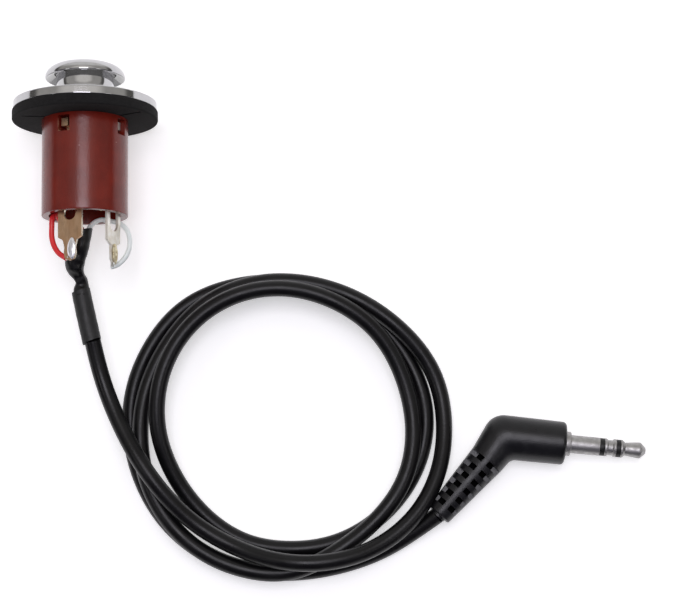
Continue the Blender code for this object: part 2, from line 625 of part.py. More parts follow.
def pin_piece(plug, name, profile, colour, roughness, metallic):
    """A turned piece of the pin. Its profile runs along the head's axis from the bend."""
    obj = add_mesh(name, turned(profile, COARSE_STEPS), plug)
    obj.rotation_euler = (0, math.radians(90), math.radians(HEAD_ANGLE))
    paint(obj, colour, roughness, metallic)


def rod_profile(start, end, radius, bevel=0.1):
    """A solid rod with small bevels, as (radius, distance) points from its far end to its near end."""
    far = [(0, end), (radius - bevel, end), (radius, end - bevel)]
    near = [(radius, start + bevel), (radius - bevel, start), (0, start)]
    return far + near


def plug_pin(plug):
    nickel = ((0.7, 0.68, 0.66), 0.25, 1.0)
    black = ((0.02, 0.02, 0.02), 0.4, 0.0)
    pin_piece(plug, "plug_collar", rod_profile(HEAD_LENGTH + GAP, COLLAR_END, COLLAR_RADIUS), *nickel)
    sleeve = rod_profile(COLLAR_END + SLIM_GAP, RING_INSULATOR[0] - SLIM_GAP, PIN_RADIUS)
    pin_piece(plug, "plug_sleeve", sleeve, *nickel)
    flush, waist = PIN_RADIUS - 0.05, PIN_RADIUS - 0.2
    pin_piece(plug, "plug_ring_insulator", rod_profile(*RING_INSULATOR, flush), *black)
    start, end = RING_INSULATOR[1] + SLIM_GAP, TIP_INSULATOR[0] - SLIM_GAP
    ring_contact = [(0, end), (PIN_RADIUS, end), (PIN_RADIUS, end - 0.5), (waist, end - 0.8)]
    ring_contact += [(waist, start + 0.8), (PIN_RADIUS, start + 0.5), (PIN_RADIUS, start), (0, start)]
    pin_piece(plug, "plug_ring", ring_contact, *nickel)
    pin_piece(plug, "plug_tip_insulator", rod_profile(*TIP_INSULATOR, flush), *black)
    start = TIP_INSULATOR[1] + SLIM_GAP
    shoulder = PIN_END - 0.9
    tip = [(0, PIN_END), (PIN_FLAT, PIN_END), (waist, shoulder), (waist, shoulder - 0.3)]
    tip += [(PIN_WAIST, start + 0.8), (PIN_RADIUS, start + 0.3), (PIN_RADIUS, start), (0, start)]
    pin_piece(plug, "plug_tip", tip, *nickel)


def build():
    clear_scene()
    jack = add_empty("jack_frame", (0, JACK_Y, GASKET_RADIUS), (90, 0, 180))
    strap_button(jack)
    foam_gasket(jack)
    jack_body(jack)
    sleeve_terminal(jack)
    tip_terminal(jack)
    lock_washer(jack)
    retaining_nut(jack)
    contact_carrier(jack)
    contact_spring(jack, "tip_contact_spring", TIP_AZIMUTH, TIP_HINGE, TIP_LEAF)
    contact_spring(jack, "sleeve_contact_spring", SLEEVE_AZIMUTH, SLEEVE_HINGE, SLEEVE_LEAF)
    lug_size, fork_size = (0.75, 0.4, 1.3), (0.6, 0.35, 1.1)
    fork_face = STRIP_OUTER + FORK_OFFSET
    solder_joint(jack, "lug_solder_joint", SLEEVE_AZIMUTH, STRIP_OUTER, -26.4, lug_size, LUG_SHIFT + 0.3)
    solder_joint(jack, "fork_solder_joint", TIP_AZIMUTH, fork_face, -27.0, fork_size)
    wires_and_sleeves()
    signal_cable()
    plug = add_empty("plug_frame", BEND, (0, 0, 0))
    plug_overmould(plug)
    plug_pin(plug)


build()
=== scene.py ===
import math

import bmesh
import bpy
import numpy as np
from mathutils import Matrix, Vector, noise


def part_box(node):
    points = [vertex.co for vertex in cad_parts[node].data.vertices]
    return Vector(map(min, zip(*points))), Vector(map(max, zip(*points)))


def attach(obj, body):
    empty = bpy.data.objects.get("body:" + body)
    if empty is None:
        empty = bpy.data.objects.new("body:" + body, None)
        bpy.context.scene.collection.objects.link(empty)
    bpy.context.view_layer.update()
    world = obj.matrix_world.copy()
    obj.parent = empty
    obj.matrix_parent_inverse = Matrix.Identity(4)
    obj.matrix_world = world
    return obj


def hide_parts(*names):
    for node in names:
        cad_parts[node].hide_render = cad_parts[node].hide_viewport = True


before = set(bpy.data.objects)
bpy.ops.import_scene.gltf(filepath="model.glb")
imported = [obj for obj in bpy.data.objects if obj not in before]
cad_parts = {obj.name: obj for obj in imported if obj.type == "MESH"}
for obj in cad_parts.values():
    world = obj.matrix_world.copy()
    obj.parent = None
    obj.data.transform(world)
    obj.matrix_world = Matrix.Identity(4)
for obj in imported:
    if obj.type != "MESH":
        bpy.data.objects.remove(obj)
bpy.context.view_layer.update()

MM = 0.001
ROOT = "jack"
WORLD = Matrix.Identity(4)

# ---------------------------------------------------------------- places and sizes

GASKET_LOW, GASKET_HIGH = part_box("foam_gasket")
AXIS_X = (GASKET_LOW.x + GASKET_HIGH.x) / 2
AXIS_Z = (GASKET_LOW.z + GASKET_HIGH.z) / 2
# The jack's frame: z runs up its axis from the gasket's underside, y is up, x is the model's -X.
JACK = Matrix.Translation((AXIS_X, GASKET_LOW.y, AXIS_Z)) @ Matrix(
    ((-1, 0, 0, 0), (0, 0, 1, 0), (0, 1, 0, 0), (0, 0, 0, 1))
)


def span(node):
    """A node's low and high ends along the jack's axis, in millimetres over the gasket's underside."""
    low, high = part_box(node)
    return (low.y - GASKET_LOW.y) / MM, (high.y - GASKET_LOW.y) / MM


def outer_radius(node):
    """The radius of a node turned about the jack's axis, in millimetres."""
    low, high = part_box(node)
    return (high.z - low.z) / 2 / MM


# Steps round a turned piece.
TURN_STEPS = 160
FINE_TURN_STEPS = 192
SMALL_TURN_STEPS = 96

GAP = 0.3
SMALL_ROUND = 0.3
SHARP_ROUND = 0.1
GASKET_RADIUS = outer_radius("foam_gasket")
GASKET_HEIGHT = span("foam_gasket")[1]
GASKET_SLIT = 0.55
# Each slit runs between two points of the jack's frame.
GASKET_SLITS = (((7.0, 4.6), (11.3, 5.2)), ((-7.2, 4.2), (-11.5, 6.8)))
FLANGE_RADIUS = outer_radius("strap_button")
FLANGE_BOTTOM = GASKET_HEIGHT + GAP
FLANGE_TOP = 3.68
NECK_RADIUS = 5.5
NECK_FLARE = 3.2
NECK_FILLET = 0.6
NECK_TOP = 9.5
CAP_RADIUS = 7.73
CAP_BOTTOM = 8.35
CAP_RIM = 8.7
CROWN_RADIUS = 4.2
SPIGOT_END, CROWN_HEIGHT = span("strap_button")
SOCKET_RADIUS = 3.3
SPIGOT_RADIUS = 4.3
SOCKET_CHAMFER = 0.45

BODY_RADIUS = outer_radius("jack_body")
BODY_BORE = 6.85
BODY_END = span("jack_body")[0]
BULKHEAD_END = -5.0
COLLAR_BORE = SPIGOT_RADIUS + GAP
SLEEVE_AZIMUTH = -24.0
TIP_AZIMUTH = 68.0
POCKET_AZIMUTHS = (SLEEVE_AZIMUTH + 2, TIP_AZIMUTH - 3, 155.0, 245.0)
POCKET_HALF = 1.45
POCKET_DEPTH = (5.15, 6.65)
POCKET_TOP = -0.4
WINDOW_HALF = 1.25
WINDOW_HEIGHTS = (-3.6, -0.5)

# Terminal strips stand as flat chords inside the bore. The fork's lies further out.
STRIP_INNER = 5.45
STRIP_OUTER = 5.95
FORK_OFFSET = 0.4
BARB_HALF = 0.8
BARB_TOP = -0.9
BARB_HEIGHTS = (-2.4, BARB_TOP)
BARB_REACH = 7.3
STRIP_HALF = 1.6
STRIP_END = -13.6
WASHER_HEIGHTS = (-5.8, -5.3)
ARM_HALF = 0.8
NUT_RADIUS = STRIP_INNER - GAP
LUG_HALF = 2.6
LUG_SHIFT = 0.35
LUG_SHOULDER = -23.6
LUG_HOLE_RADIUS = 1.3
LUG_HOLE_HEIGHT = -19.05
LUG_TAB_HALF = 1.3
LUG_TIP = span("sleeve_terminal")[0]
FORK_HALF = 2.5
FORK_SLOT_HALF = 1.5
FORK_SLOT_HEIGHTS = (-22.1, -16.2)
FORK_SHOULDER = -24.1
FORK_TAIL_HALF = 0.95
FORK_TIP = -28.1

# The lead, in millimetres of the whole model's own axes.
RED_WIRE_DIAMETER = 1.05
RED_WIRE_ROUTE = (
    (-0.6, -11.3, 12.9), (-1.9, -11.25, 13.4), (-3.4, -11.3, 14.1), (-4.7, -10.7, 14.8),
    (-5.2, -9.8, 15.5), (-5.7, -10.3, 16.2), (-5.95, -12.2, 16.5), (-5.9, -14.5, 16.6),
    (-5.25, -16.5, 16.9), (-4.3, -17.8, 17.4), (-3.5, -18.4, 17.9),
)
WHITE_WIRE_DIAMETER = 0.95
WHITE_WIRE_ROUTE = (
    (0.85, -11.6, 12.5), (1.7, -10.95, 12.9), (2.9, -10.5, 13.1), (4.5, -10.7, 13.0),
    (6.0, -11.0, 12.7), (7.6, -12.1, 13.3), (8.35, -13.5, 13.9), (8.65, -15.3, 14.2),
    (8.25, -17.2, 14.3), (7.3, -18.7, 14.3), (5.9, -19.7, 14.3),
)
WIRE_SPACING = 0.3
# The bare strands' widths along their length, as shares of their diameter.
RED_STRANDS_DIAMETER = 0.55
WHITE_STRANDS_DIAMETER = 0.5
STRAND_WIDTHS = (1.0, 1.0, 0.9, 0.6)
SLEEVE_RADIUS = 1.85
UPPER_SLEEVE_ROUTE = (
    (-0.4, -12.1, 12.5), (-0.95, -14.2, 12.1), (-1.55, -16.2, 11.6), (-2.25, -18.3, 11.0),
    (-2.0, -19.9, 10.4), (-1.4, -21.6, 9.7), (-1.3, -22.6, 9.3),
)
UPPER_SLEEVE_WIDTHS = (0.86, 0.93, 1.0, 1.0, 1.0, 0.72, 0.8)
LOWER_SLEEVE_ROUTE = (
    (-1.5, -23.2, 9.0), (-0.9, -26.2, 8.8), (-0.2, -29.5, 8.6), (0.6, -32.8, 8.5),
)
CABLE_DIAMETER = 3.2
TABLE_CLEARANCE = 0.05
# Each point is (x, y, lift of the cable's underside over the table).
CABLE_ROUTE = (
    # first turn, from the heat-shrink over the other turns and round
    (0.8, -33.3, 6.9), (2.3, -39.8, 5.5), (5.9, -49.3, 5.7), (11.3, -58.8, 7.0), (19.6, -68.1, 5.0),
    (28.8, -73.6, 4.8), (38.5, -76.3, 7.0), (47.5, -76.0, 6.8), (55.2, -73.3, 5.2), (62.5, -67.4, 4.0),
    (66.9, -59.5, 2.6), (68.4, -50.5, 1.2), (66.6, -40.3, 1.3), (60.4, -31.7, 2.7), (50.9, -25.1, 3.5),
    (41.8, -22.2, 3.6), (32.3, -22.1, 3.6), (22.2, -26.1, 3.3), (14.4, -34.5, 2.6), (10.4, -43.8, 2.8),
    (9.6, -52.6, 3.2), (11.3, -61.2, 3.5), (15.3, -68.3, 3.6), (21.4, -73.9, 3.6), (29.0, -77.3, 3.6),
    (38.2, -78.0, 3.6),
    # second turn, over the bundle on its far side and under it on its near side
    (46.2, -74.8, 3.4), (54.3, -68.9, 3.6), (60.0, -61.5, 3.4), (62.3, -52.3, 2.8), (61.2, -43.2, 2.9),
    (55.6, -32.3, 4.9), (46.2, -25.8, 6.6), (37.0, -23.7, 6.9), (28.5, -25.0, 7.0), (19.4, -30.8, 6.3),
    (13.9, -40.5, 5.8), (13.1, -49.9, 4.6), (15.6, -58.3, 2.4), (21.2, -66.3, 0.6), (29.5, -72.0, 0.0),
    (38.1, -73.6, 0.0),
    # third turn, lying on the table, and the end that rises to the plug
    (47.2, -72.4, 0.0), (56.2, -67.2, 0.0), (62.7, -58.6, 0.0), (64.9, -48.5, 0.0), (62.6, -39.0, 0.0),
    (56.5, -30.3, 0.0), (47.6, -24.0, 0.0), (36.9, -21.4, 0.0), (27.0, -22.2, 0.0), (18.6, -25.7, 0.0),
    (11.4, -33.7, 0.0), (7.8, -42.9, 0.0), (7.5, -51.8, 0.0), (9.8, -60.4, 0.0), (14.3, -67.9, 0.0),
    (20.7, -73.5, 0.0), (29.0, -77.1, 0.0), (38.4, -78.1, 0.0), (48.2, -76.8, 0.0), (56.3, -74.0, 0.2),
    (62.4, -70.5, 1.3), (66.55, -67.75, 2.5),
)

# The plug's head and leg meet at the bend. Angles are about +Z, from +X.
BEND = (80.2, -53.1, 4.2)
HEAD_ANGLE = -6.4
LEG_ANGLE = -132.8
HEAD_RADIUS = 4.15
HEAD_LENGTH = 11.45
HEAD_ROUND = 0.7
# The head's back and the leg's neck lean outward by these angles, towards the outer corner.
HEAD_LEAN = 1.2
NECK_LEAN = 11.3
OUTER_FILLET = 4.0
INNER_FILLET = 1.8
STRAIGHT_START = 5.6
LEG_START_RADIUS = 3.52
LEG_END_RADIUS = 2.5
LEG_LENGTH = 19.4
LEG_OVERLAP = 0.35
LEG_ROUND = 0.3
LEG_SPIGOT = 0.45
BEND_STEPS = 24
BEND_SKIPPED = 2
MOULDING_STEPS = 80
RELIEF_SLOTS = 6
RELIEF_FIRST = 6.4
RELIEF_PITCH = 2.22
RELIEF_SLOT_WIDTH = 1.1
RELIEF_SPINE_HALF = 0.55
RELIEF_STEP = 1.85
RELIEF_WEB_HALF = 0.45
COLLAR_RADIUS = 2.35
COLLAR_END = 12.5
PIN_RADIUS = 1.75
PIN_END = 27.0
RING_INSULATOR = (PIN_END - 8.85, PIN_END - 8.0)
TIP_INSULATOR = (PIN_END - 5.7, PIN_END - 4.85)
PIN_GAP = 0.1
PIN_FLAT = 0.45
PIN_WAIST = 1.25

# ---------------------------------------------------------------- camera, floor and light

CAMERA_PLACE = (48.793, -82.138, 365.623)
CAMERA_TILT = 8.766
CAMERA_ROLL = -1.03
CAMERA_LENS = 98.7


def add_camera():
    data = bpy.data.cameras.new("camera")
    data.lens = CAMERA_LENS
    data.sensor_width = 36
    data.clip_start = 0.01
    camera = bpy.data.objects.new("camera", data)
    bpy.context.collection.objects.link(camera)
    tilt = Matrix.Rotation(math.radians(CAMERA_TILT), 4, "X")
    roll = Matrix.Rotation(math.radians(CAMERA_ROLL), 4, "Z")
    camera.matrix_world = Matrix.Translation(Vector(CAMERA_PLACE) * MM) @ tilt @ roll
    bpy.context.scene.camera = camera


def add_light(name, place, target, size, radiance, colour):
    """A soft rectangular light. Its size is across and along, in millimetres."""
    data = bpy.data.lights.new(name, "AREA")
    data.shape = "RECTANGLE"
    data.size = size[0] * MM
    data.size_y = size[1] * MM
    data.energy = radiance * math.pi * data.size * data.size_y
    data.color = colour
    light = bpy.data.objects.new(name, data)
    bpy.context.collection.objects.link(light)
    light.location = Vector(place) * MM
    aim = Vector(target) - Vector(place)
    light.rotation_euler = aim.to_track_quat("-Z", "Y").to_euler()


def add_floor():
    mesh = bpy.data.meshes.new("floor")
    side = 6000 * MM
    corners = [(-side, -side, 0), (side, -side, 0), (side, side, 0), (-side, side, 0)]
    mesh.from_pydata(corners, [], [(0, 1, 2, 3)])
    floor = bpy.data.objects.new("floor", mesh)
    bpy.context.collection.objects.link(floor)
    paper = bpy.data.materials.new("floor_paper")
    paper.use_nodes = True
    shader = paper.node_tree.nodes["Principled BSDF"]
    shader.inputs["Base Color"].default_value = (0.93, 0.93, 0.93, 1)
    shader.inputs["Roughness"].default_value = 0.9
    shader.inputs["Specular IOR Level"].default_value = 0.05
    shader.inputs["Emission Color"].default_value = (1, 1, 1, 1)
    shader.inputs["Emission Strength"].default_value = 0.45
    mesh.materials.append(paper)


def add_world():
    """A studio that is dark in front and pale behind the button, seen directly as plain white."""
    world = bpy.data.worlds.new("studio")
    bpy.context.scene.world = world
    world.use_nodes = True
    tree = world.node_tree
    tree.nodes.clear()
    put = tree.nodes.new
    link = tree.links.new
    place = put("ShaderNodeTexCoord")
    split = put("ShaderNodeSeparateXYZ")
    link(place.outputs["Generated"], split.inputs[0])

    def ranged(axis, low, high, to_low=0.0, to_high=1.0, kind="SMOOTHSTEP"):
        """One axis of the direction into the sky, taken from one range to another."""
        ramp = put("ShaderNodeMapRange")
        ramp.interpolation_type = kind
        ramp.inputs["From Min"].default_value = low
        ramp.inputs["From Max"].default_value = high
        ramp.inputs["To Min"].default_value = to_low
        ramp.inputs["To Max"].default_value = to_high
        link(split.outputs[axis], ramp.inputs["Value"])
        return ramp.outputs[0]

    # The sky's tone runs from a dark front, past a beige middle, to a pale sweep behind the button.
    tone = put("ShaderNodeValToRGB")
    stops = tone.color_ramp
    stops.elements[0].position = 0.48
    stops.elements[0].color = (0.085, 0.08, 0.105, 1)
    stops.elements[1].position = 0.92
    stops.elements[1].color = (0.80, 0.79, 0.78, 1)
    for at in (0.54, 0.80):
        stops.elements.new(at).color = (0.44, 0.425, 0.405, 1)
    link(ranged("Y", -1.0, 1.0, kind="LINEAR"), tone.inputs[0])
    # A darker band lies along the horizon, except in the sweep.
    shade = put("ShaderNodeMath")
    shade.operation = "MAXIMUM"
    link(ranged("Z", 0.16, 0.34, to_low=0.3), shade.inputs[0])
    link(ranged("Y", 0.40, 0.62), shade.inputs[1])
    blend = put("ShaderNodeMix")
    blend.data_type = "RGBA"
    blend.inputs["A"].default_value = (0, 0, 0, 1)
    link(shade.outputs[0], blend.inputs["Factor"])
    link(tone.outputs[0], blend.inputs["B"])
    studio = put("ShaderNodeBackground")
    link(blend.outputs["Result"], studio.inputs["Color"])
    # The middle of the sky is brighter.
    link(ranged("Z", 0.72, 0.90, to_low=1.0, to_high=1.8), studio.inputs["Strength"])
    backdrop = put("ShaderNodeBackground")
    backdrop.inputs["Color"].default_value = (0.97, 0.97, 0.97, 1)
    path = put("ShaderNodeLightPath")
    mix = put("ShaderNodeMixShader")
    link(path.outputs["Is Camera Ray"], mix.inputs[0])
    link(studio.outputs[0], mix.inputs[1])
    link(backdrop.outputs[0], mix.inputs[2])
    out = put("ShaderNodeOutputWorld")
    link(mix.outputs[0], out.inputs[0])


def add_studio():
    bpy.context.scene.view_settings.view_transform = "Standard"
    add_floor()
    add_world()
    add_light(
        "overhead", place=(45, 3, 900), target=(45, 3, 0), size=(400, 438), radiance=5.6,
        colour=(0.93, 0.91, 1.0),
    )
    for name, side in (("left_panel", -1), ("right_panel", 1)):
        add_light(
            name, place=(side * 640, -250, 640), target=(0, 0, 0), size=(190, 200), radiance=3.0,
            colour=(1.0, 0.99, 0.97),
        )


# ---------------------------------------------------------------- materials


def material(name, colour, second, roughness, metallic=0.0, blotch=2.0, spread=0.06, grain=0.25,
             bump=0.15, stretch=(1, 1, 1), specks=None, grime=None, ior=1.5):
    """A procedural finish. Blotch and grain are feature sizes in millimetres.

    Specks are (colour, spacing in millimetres, share of the cells) and grime is (colour, size, share).
    The roughness swings by the spread either way.
    """
    made = bpy.data.materials.new(name)
    made.use_nodes = True
    tree = made.node_tree
    put = tree.nodes.new
    link = tree.links.new
    shader = tree.nodes["Principled BSDF"]
    shader.inputs["Metallic"].default_value = metallic
    shader.inputs["IOR"].default_value = ior
    place = put("ShaderNodeTexCoord")
    mapping = put("ShaderNodeMapping")
    mapping.inputs["Scale"].default_value = stretch
    link(place.outputs["Object"], mapping.inputs["Vector"])

    def cloud(size, detail=4, vector=mapping.outputs[0]):
        texture = put("ShaderNodeTexNoise")
        texture.inputs["Scale"].default_value = 1 / (size * MM)
        texture.inputs["Detail"].default_value = detail
        link(vector, texture.inputs["Vector"])
        return texture.outputs["Fac"]

    def stepped(value, low, high, to_low=0.0, to_high=1.0):
        ramp = put("ShaderNodeMapRange")
        ramp.inputs["From Min"].default_value = low
        ramp.inputs["From Max"].default_value = high
        ramp.inputs["To Min"].default_value = to_low
        ramp.inputs["To Max"].default_value = to_high
        link(value, ramp.inputs["Value"])
        return ramp.outputs[0]

    def mixed(first, tint, share):
        blend = put("ShaderNodeMix")
        blend.data_type = "RGBA"
        blend.inputs["B"].default_value = (*tint, 1)
        link(first, blend.inputs["A"])
        link(share, blend.inputs["Factor"])
        return blend.outputs["Result"]

    clouds = cloud(blotch, 5)
    blend = put("ShaderNodeMix")
    blend.data_type = "RGBA"
    blend.inputs["A"].default_value = (*colour, 1)
    blend.inputs["B"].default_value = (*second, 1)
    link(stepped(clouds, 0.36, 0.64), blend.inputs["Factor"])
    shade = blend.outputs["Result"]
    if grime:
        tint, size, share = grime
        shade = mixed(shade, tint, stepped(cloud(size, 6), 0.5, 0.75, 0.0, share))
    if specks:
        tint, spacing, share = specks
        cells = put("ShaderNodeTexVoronoi")
        cells.inputs["Scale"].default_value = 1 / (spacing * MM)
        link(place.outputs["Object"], cells.inputs["Vector"])
        near = stepped(cells.outputs["Distance"], 0.14, 0.2, 1.0, 0.0)
        chosen = stepped(cells.outputs["Color"], 1 - share, 1 - share + 0.02)
        both = put("ShaderNodeMath")
        both.operation = "MULTIPLY"
        link(near, both.inputs[0])
        link(chosen, both.inputs[1])
        shade = mixed(shade, tint, both.outputs[0])
    link(shade, shader.inputs["Base Color"])
    smoothest = max(0.02, roughness - spread)
    link(stepped(clouds, 0.3, 0.7, smoothest, roughness + spread), shader.inputs["Roughness"])
    relief = put("ShaderNodeBump")
    relief.inputs["Strength"].default_value = bump
    relief.inputs["Distance"].default_value = grain * MM * 0.4
    link(cloud(grain, 3), relief.inputs["Height"])
    link(relief.outputs[0], shader.inputs["Normal"])
    return made


CHROME = material(
    "polished_chrome", (0.53, 0.53, 0.535), (0.49, 0.49, 0.50), roughness=0.07, metallic=1.0,
    blotch=3.0, spread=0.02, grain=0.8, bump=0.015, grime=((0.40, 0.39, 0.38), 1.2, 0.25),
)
FOAM = material(
    "black_foam", (0.0115, 0.011, 0.011), (0.016, 0.0155, 0.0155), roughness=0.95, blotch=0.8,
    spread=0.04, grain=0.3, bump=1.0, specks=((0.045, 0.045, 0.045), 0.5, 0.12), ior=1.3,
)
BODY_RED = material(
    "red_brown_moulding", (0.198, 0.0165, 0.0085), (0.160, 0.0125, 0.0065), roughness=0.21, blotch=3.5,
    spread=0.05, grain=0.3, bump=0.2, specks=((0.46, 0.17, 0.14), 0.55, 0.09),
    grime=((0.11, 0.009, 0.006), 5.0, 0.5), ior=1.45,
)
BRASS = material(
    "lug_brass", (0.70, 0.47, 0.30), (0.58, 0.36, 0.21), roughness=0.36, metallic=1.0, blotch=1.4,
    spread=0.1, grain=0.2, bump=0.3, stretch=(1, 1, 0.35), grime=((0.24, 0.14, 0.08), 0.9, 0.4),
)
BRASS_EDGE = material(
    "lug_cut_edge", (0.86, 0.80, 0.70), (0.74, 0.64, 0.50), roughness=0.3, metallic=0.9, blotch=0.8,
    spread=0.1, grain=0.15, bump=0.2,
)
TINNED = material(
    "tinned_fork", (0.86, 0.84, 0.79), (0.76, 0.72, 0.62), roughness=0.45, metallic=0.6, blotch=1.2,
    spread=0.12, grain=0.2, bump=0.3, grime=((0.5, 0.38, 0.2), 1.1, 0.25),
)
SOLDER = material(
    "solder", (0.90, 0.90, 0.93), (0.82, 0.82, 0.86), roughness=0.34, metallic=1.0, blotch=0.6,
    grain=0.4, bump=0.08,
)
FLUXED = material(
    "flux_stained_solder", (0.78, 0.72, 0.52), (0.62, 0.52, 0.30), roughness=0.38, metallic=0.6,
    blotch=0.6, spread=0.1, grain=0.2, bump=0.35, grime=((0.12, 0.07, 0.03), 0.5, 0.6),
)
NUT_BRASS = material(
    "nut_brass", (0.62, 0.48, 0.26), (0.5, 0.36, 0.18), roughness=0.3, metallic=1.0, blotch=1.0,
    spread=0.08, grain=0.12,
)
STEEL = material(
    "washer_steel", (0.5, 0.5, 0.51), (0.4, 0.4, 0.42), roughness=0.35, metallic=1.0, blotch=0.8,
    spread=0.08, grain=0.12,
)
BRONZE = material(
    "contact_bronze", (0.72, 0.6, 0.38), (0.62, 0.48, 0.28), roughness=0.28, metallic=1.0, blotch=1.0,
    spread=0.08, grain=0.12,
)
CARRIER = material(
    "carrier_phenolic", (0.04, 0.02, 0.016), (0.06, 0.03, 0.022), roughness=0.5, blotch=0.7, spread=0.1,
    grain=0.15, bump=0.3,
)
RED_SKIN = material(
    "red_insulation", (0.80, 0.030, 0.034), (0.70, 0.020, 0.026), roughness=0.34, blotch=1.5, grain=0.2,
)
WHITE_SKIN = material(
    "white_insulation", (0.93, 0.98, 0.96), (0.86, 0.93, 0.91), roughness=0.33, blotch=1.2, grain=0.2,
)
STRANDS = material(
    "tinned_strands", (0.75, 0.73, 0.69), (0.55, 0.5, 0.42), roughness=0.35, metallic=1.0, blotch=0.5,
    spread=0.1, grain=0.1, bump=0.4,
)
SHRINK = material(
    "heat_shrink", (0.0045, 0.0043, 0.0046), (0.007, 0.007, 0.0074), roughness=0.34, blotch=1.8,
    spread=0.08, grain=0.3, bump=0.25, ior=1.4,
)
SHRINK_MATTE = material(
    "heat_shrink_matte", (0.012, 0.012, 0.0125), (0.016, 0.016, 0.0165), roughness=0.5, blotch=1.4,
    grain=0.22, bump=0.4, ior=1.45,
)
JACKET = material(
    "cable_jacket", (0.0035, 0.0032, 0.0038), (0.0052, 0.0050, 0.0056), roughness=0.33, blotch=4.0,
    grain=0.5, bump=0.1, grime=((0.010, 0.010, 0.010), 9.0, 0.3), ior=1.34,
)
MOULDING = material(
    "plug_moulding", (0.0050, 0.0050, 0.0065), (0.0075, 0.0075, 0.009), roughness=0.33, grain=0.22,
    bump=0.35, ior=1.42,
)
# Painted shade: a near-black rough finish for the deep floors of the relief's slots, standing in for
# the shade there.
RELIEF_PAINTED_SHADE = material(
    "relief_painted_shade", (0.003, 0.003, 0.003), (0.004, 0.004, 0.004), roughness=0.95, blotch=1.0,
    spread=0.03, grain=0.2, bump=0.3, ior=1.1,
)
NICKEL = material(
    "plug_nickel", (0.41, 0.405, 0.40), (0.34, 0.335, 0.33), roughness=0.46, metallic=1.0, blotch=0.7,
    spread=0.08, bump=0.25, grime=((0.30, 0.29, 0.28), 0.8, 0.4),
)
BLACK_RING = material(
    "pin_insulator", (0.006, 0.006, 0.006), (0.01, 0.01, 0.01), roughness=0.45, blotch=0.6, spread=0.05,
    grain=0.1, bump=0.1, ior=1.4,
)

# ---------------------------------------------------------------- modelling tools


def arc(centre, radius, start, end, count):
    """Points on an arc about centre, from the start angle to the end angle in degrees."""
    angles = np.radians(np.linspace(start, end, count))
    return [(centre[0] + radius * math.cos(a), centre[1] + radius * math.sin(a)) for a in angles]


def place_mesh(name, shape, matrix, finish, sharp=35):
    """Turns a bmesh in millimetres into a smooth object placed by a matrix in metres."""
    bmesh.ops.scale(shape, verts=shape.verts[:], vec=(MM, MM, MM))
    bmesh.ops.recalc_face_normals(shape, faces=shape.faces[:])
    mesh = bpy.data.meshes.new(name)
    shape.to_mesh(mesh)
    shape.free()
    mesh.shade_smooth()
    mesh.set_sharp_from_angle(angle=math.radians(sharp))
    mesh.materials.append(finish)
    obj = bpy.data.objects.new(name, mesh)
    bpy.context.collection.objects.link(obj)
    obj.matrix_world = matrix
    return obj


def soften(obj, width, segments=3, angle=35):
    """Rounds the piece's sharp edges."""
    rounding = obj.modifiers.new("rounding", "BEVEL")
    rounding.width = width * MM
    rounding.segments = segments
    rounding.limit_method = "ANGLE"
    rounding.angle_limit = math.radians(angle)
    rounding.harden_normals = True


def show(obj, node=None):
    """The piece rides on the jack and stands for a node if one is named."""
    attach(obj, ROOT)
    if node:
        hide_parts(node)
    return obj


def lathe(profile, steps=TURN_STEPS):
    """A bmesh turned about z from (radius, height) points. A profile off the axis is closed."""
    shape = bmesh.new()
    verts = [shape.verts.new((r, 0, h)) for r, h in profile]
    pairs = list(zip(verts, verts[1:]))
    if min(r for r, _ in profile) > 0:
        pairs.append((verts[-1], verts[0]))
    edges = [shape.edges.new(pair) for pair in pairs]
    turned = {"cent": (0, 0, 0), "axis": (0, 0, 1), "angle": math.tau, "steps": steps}
    bmesh.ops.spin(shape, geom=verts + edges, **turned)
    bmesh.ops.remove_doubles(shape, verts=shape.verts[:], dist=0.001)
    return shape


def rounded(corners, radius, count=6):
    """A closed outline with rounded corners. A corner's third number is its own radius."""
    points = []
    total = len(corners)
    for i, corner in enumerate(corners):
        here = Vector(corner[:2])
        wanted = corner[2] if len(corner) > 2 else radius
        back = Vector(corners[i - 1][:2]) - here
        ahead = Vector(corners[(i + 1) % total][:2]) - here
        angle = back.angle(ahead)
        if wanted <= 0 or angle > math.pi - 0.02:
            points.append(tuple(here))
            continue
        reach = min(wanted / math.tan(angle / 2), back.length * 0.49, ahead.length * 0.49)
        start = here + back.normalized() * reach
        end = here + ahead.normalized() * reach
        for t in np.linspace(0, 1, count):
            points.append(tuple(start * (1 - t) ** 2 + here * (2 * t * (1 - t)) + end * t**2))
    return points


def slab(outline, near, far):
    """A bmesh extruded along y from an outline of (x, z) points."""
    shape = bmesh.new()
    face = shape.faces.new([shape.verts.new((a, near, b)) for a, b in outline])
    grown = bmesh.ops.extrude_face_region(shape, geom=[face])["geom"]
    moved = [item for item in grown if isinstance(item, bmesh.types.BMVert)]
    bmesh.ops.translate(shape, verts=moved, vec=(0, far - near, 0))
    return shape


def add_box(shape, low, high, matrix=WORLD):
    """Adds to a bmesh a box between two corners, moved by a matrix."""
    size = [h - l for l, h in zip(low, high)]
    centre = [(h + l) / 2 for l, h in zip(low, high)]
    place = matrix @ Matrix.Translation(centre) @ Matrix.Diagonal((*size, 1.0))
    bmesh.ops.create_cube(shape, size=1.0, matrix=place)


def combine(obj, shape, operation="DIFFERENCE"):
    """Applies a Boolean with a bmesh in the object's own frame, and deletes the helper."""
    helper = place_mesh("helper", shape, obj.matrix_world, obj.data.materials[0])
    step = obj.modifiers.new("boolean", "BOOLEAN")
    step.operation = operation
    step.object = helper
    bpy.context.view_layer.update()
    evaluated = obj.evaluated_get(bpy.context.evaluated_depsgraph_get())
    mesh = bpy.data.meshes.new_from_object(evaluated)
    obj.modifiers.remove(step)
    old = obj.data
    obj.data = mesh
    bpy.data.meshes.remove(old)
    bpy.data.objects.remove(helper)
    mesh.name = obj.name
    mesh.shade_smooth()
    mesh.set_sharp_from_angle(angle=math.radians(30))


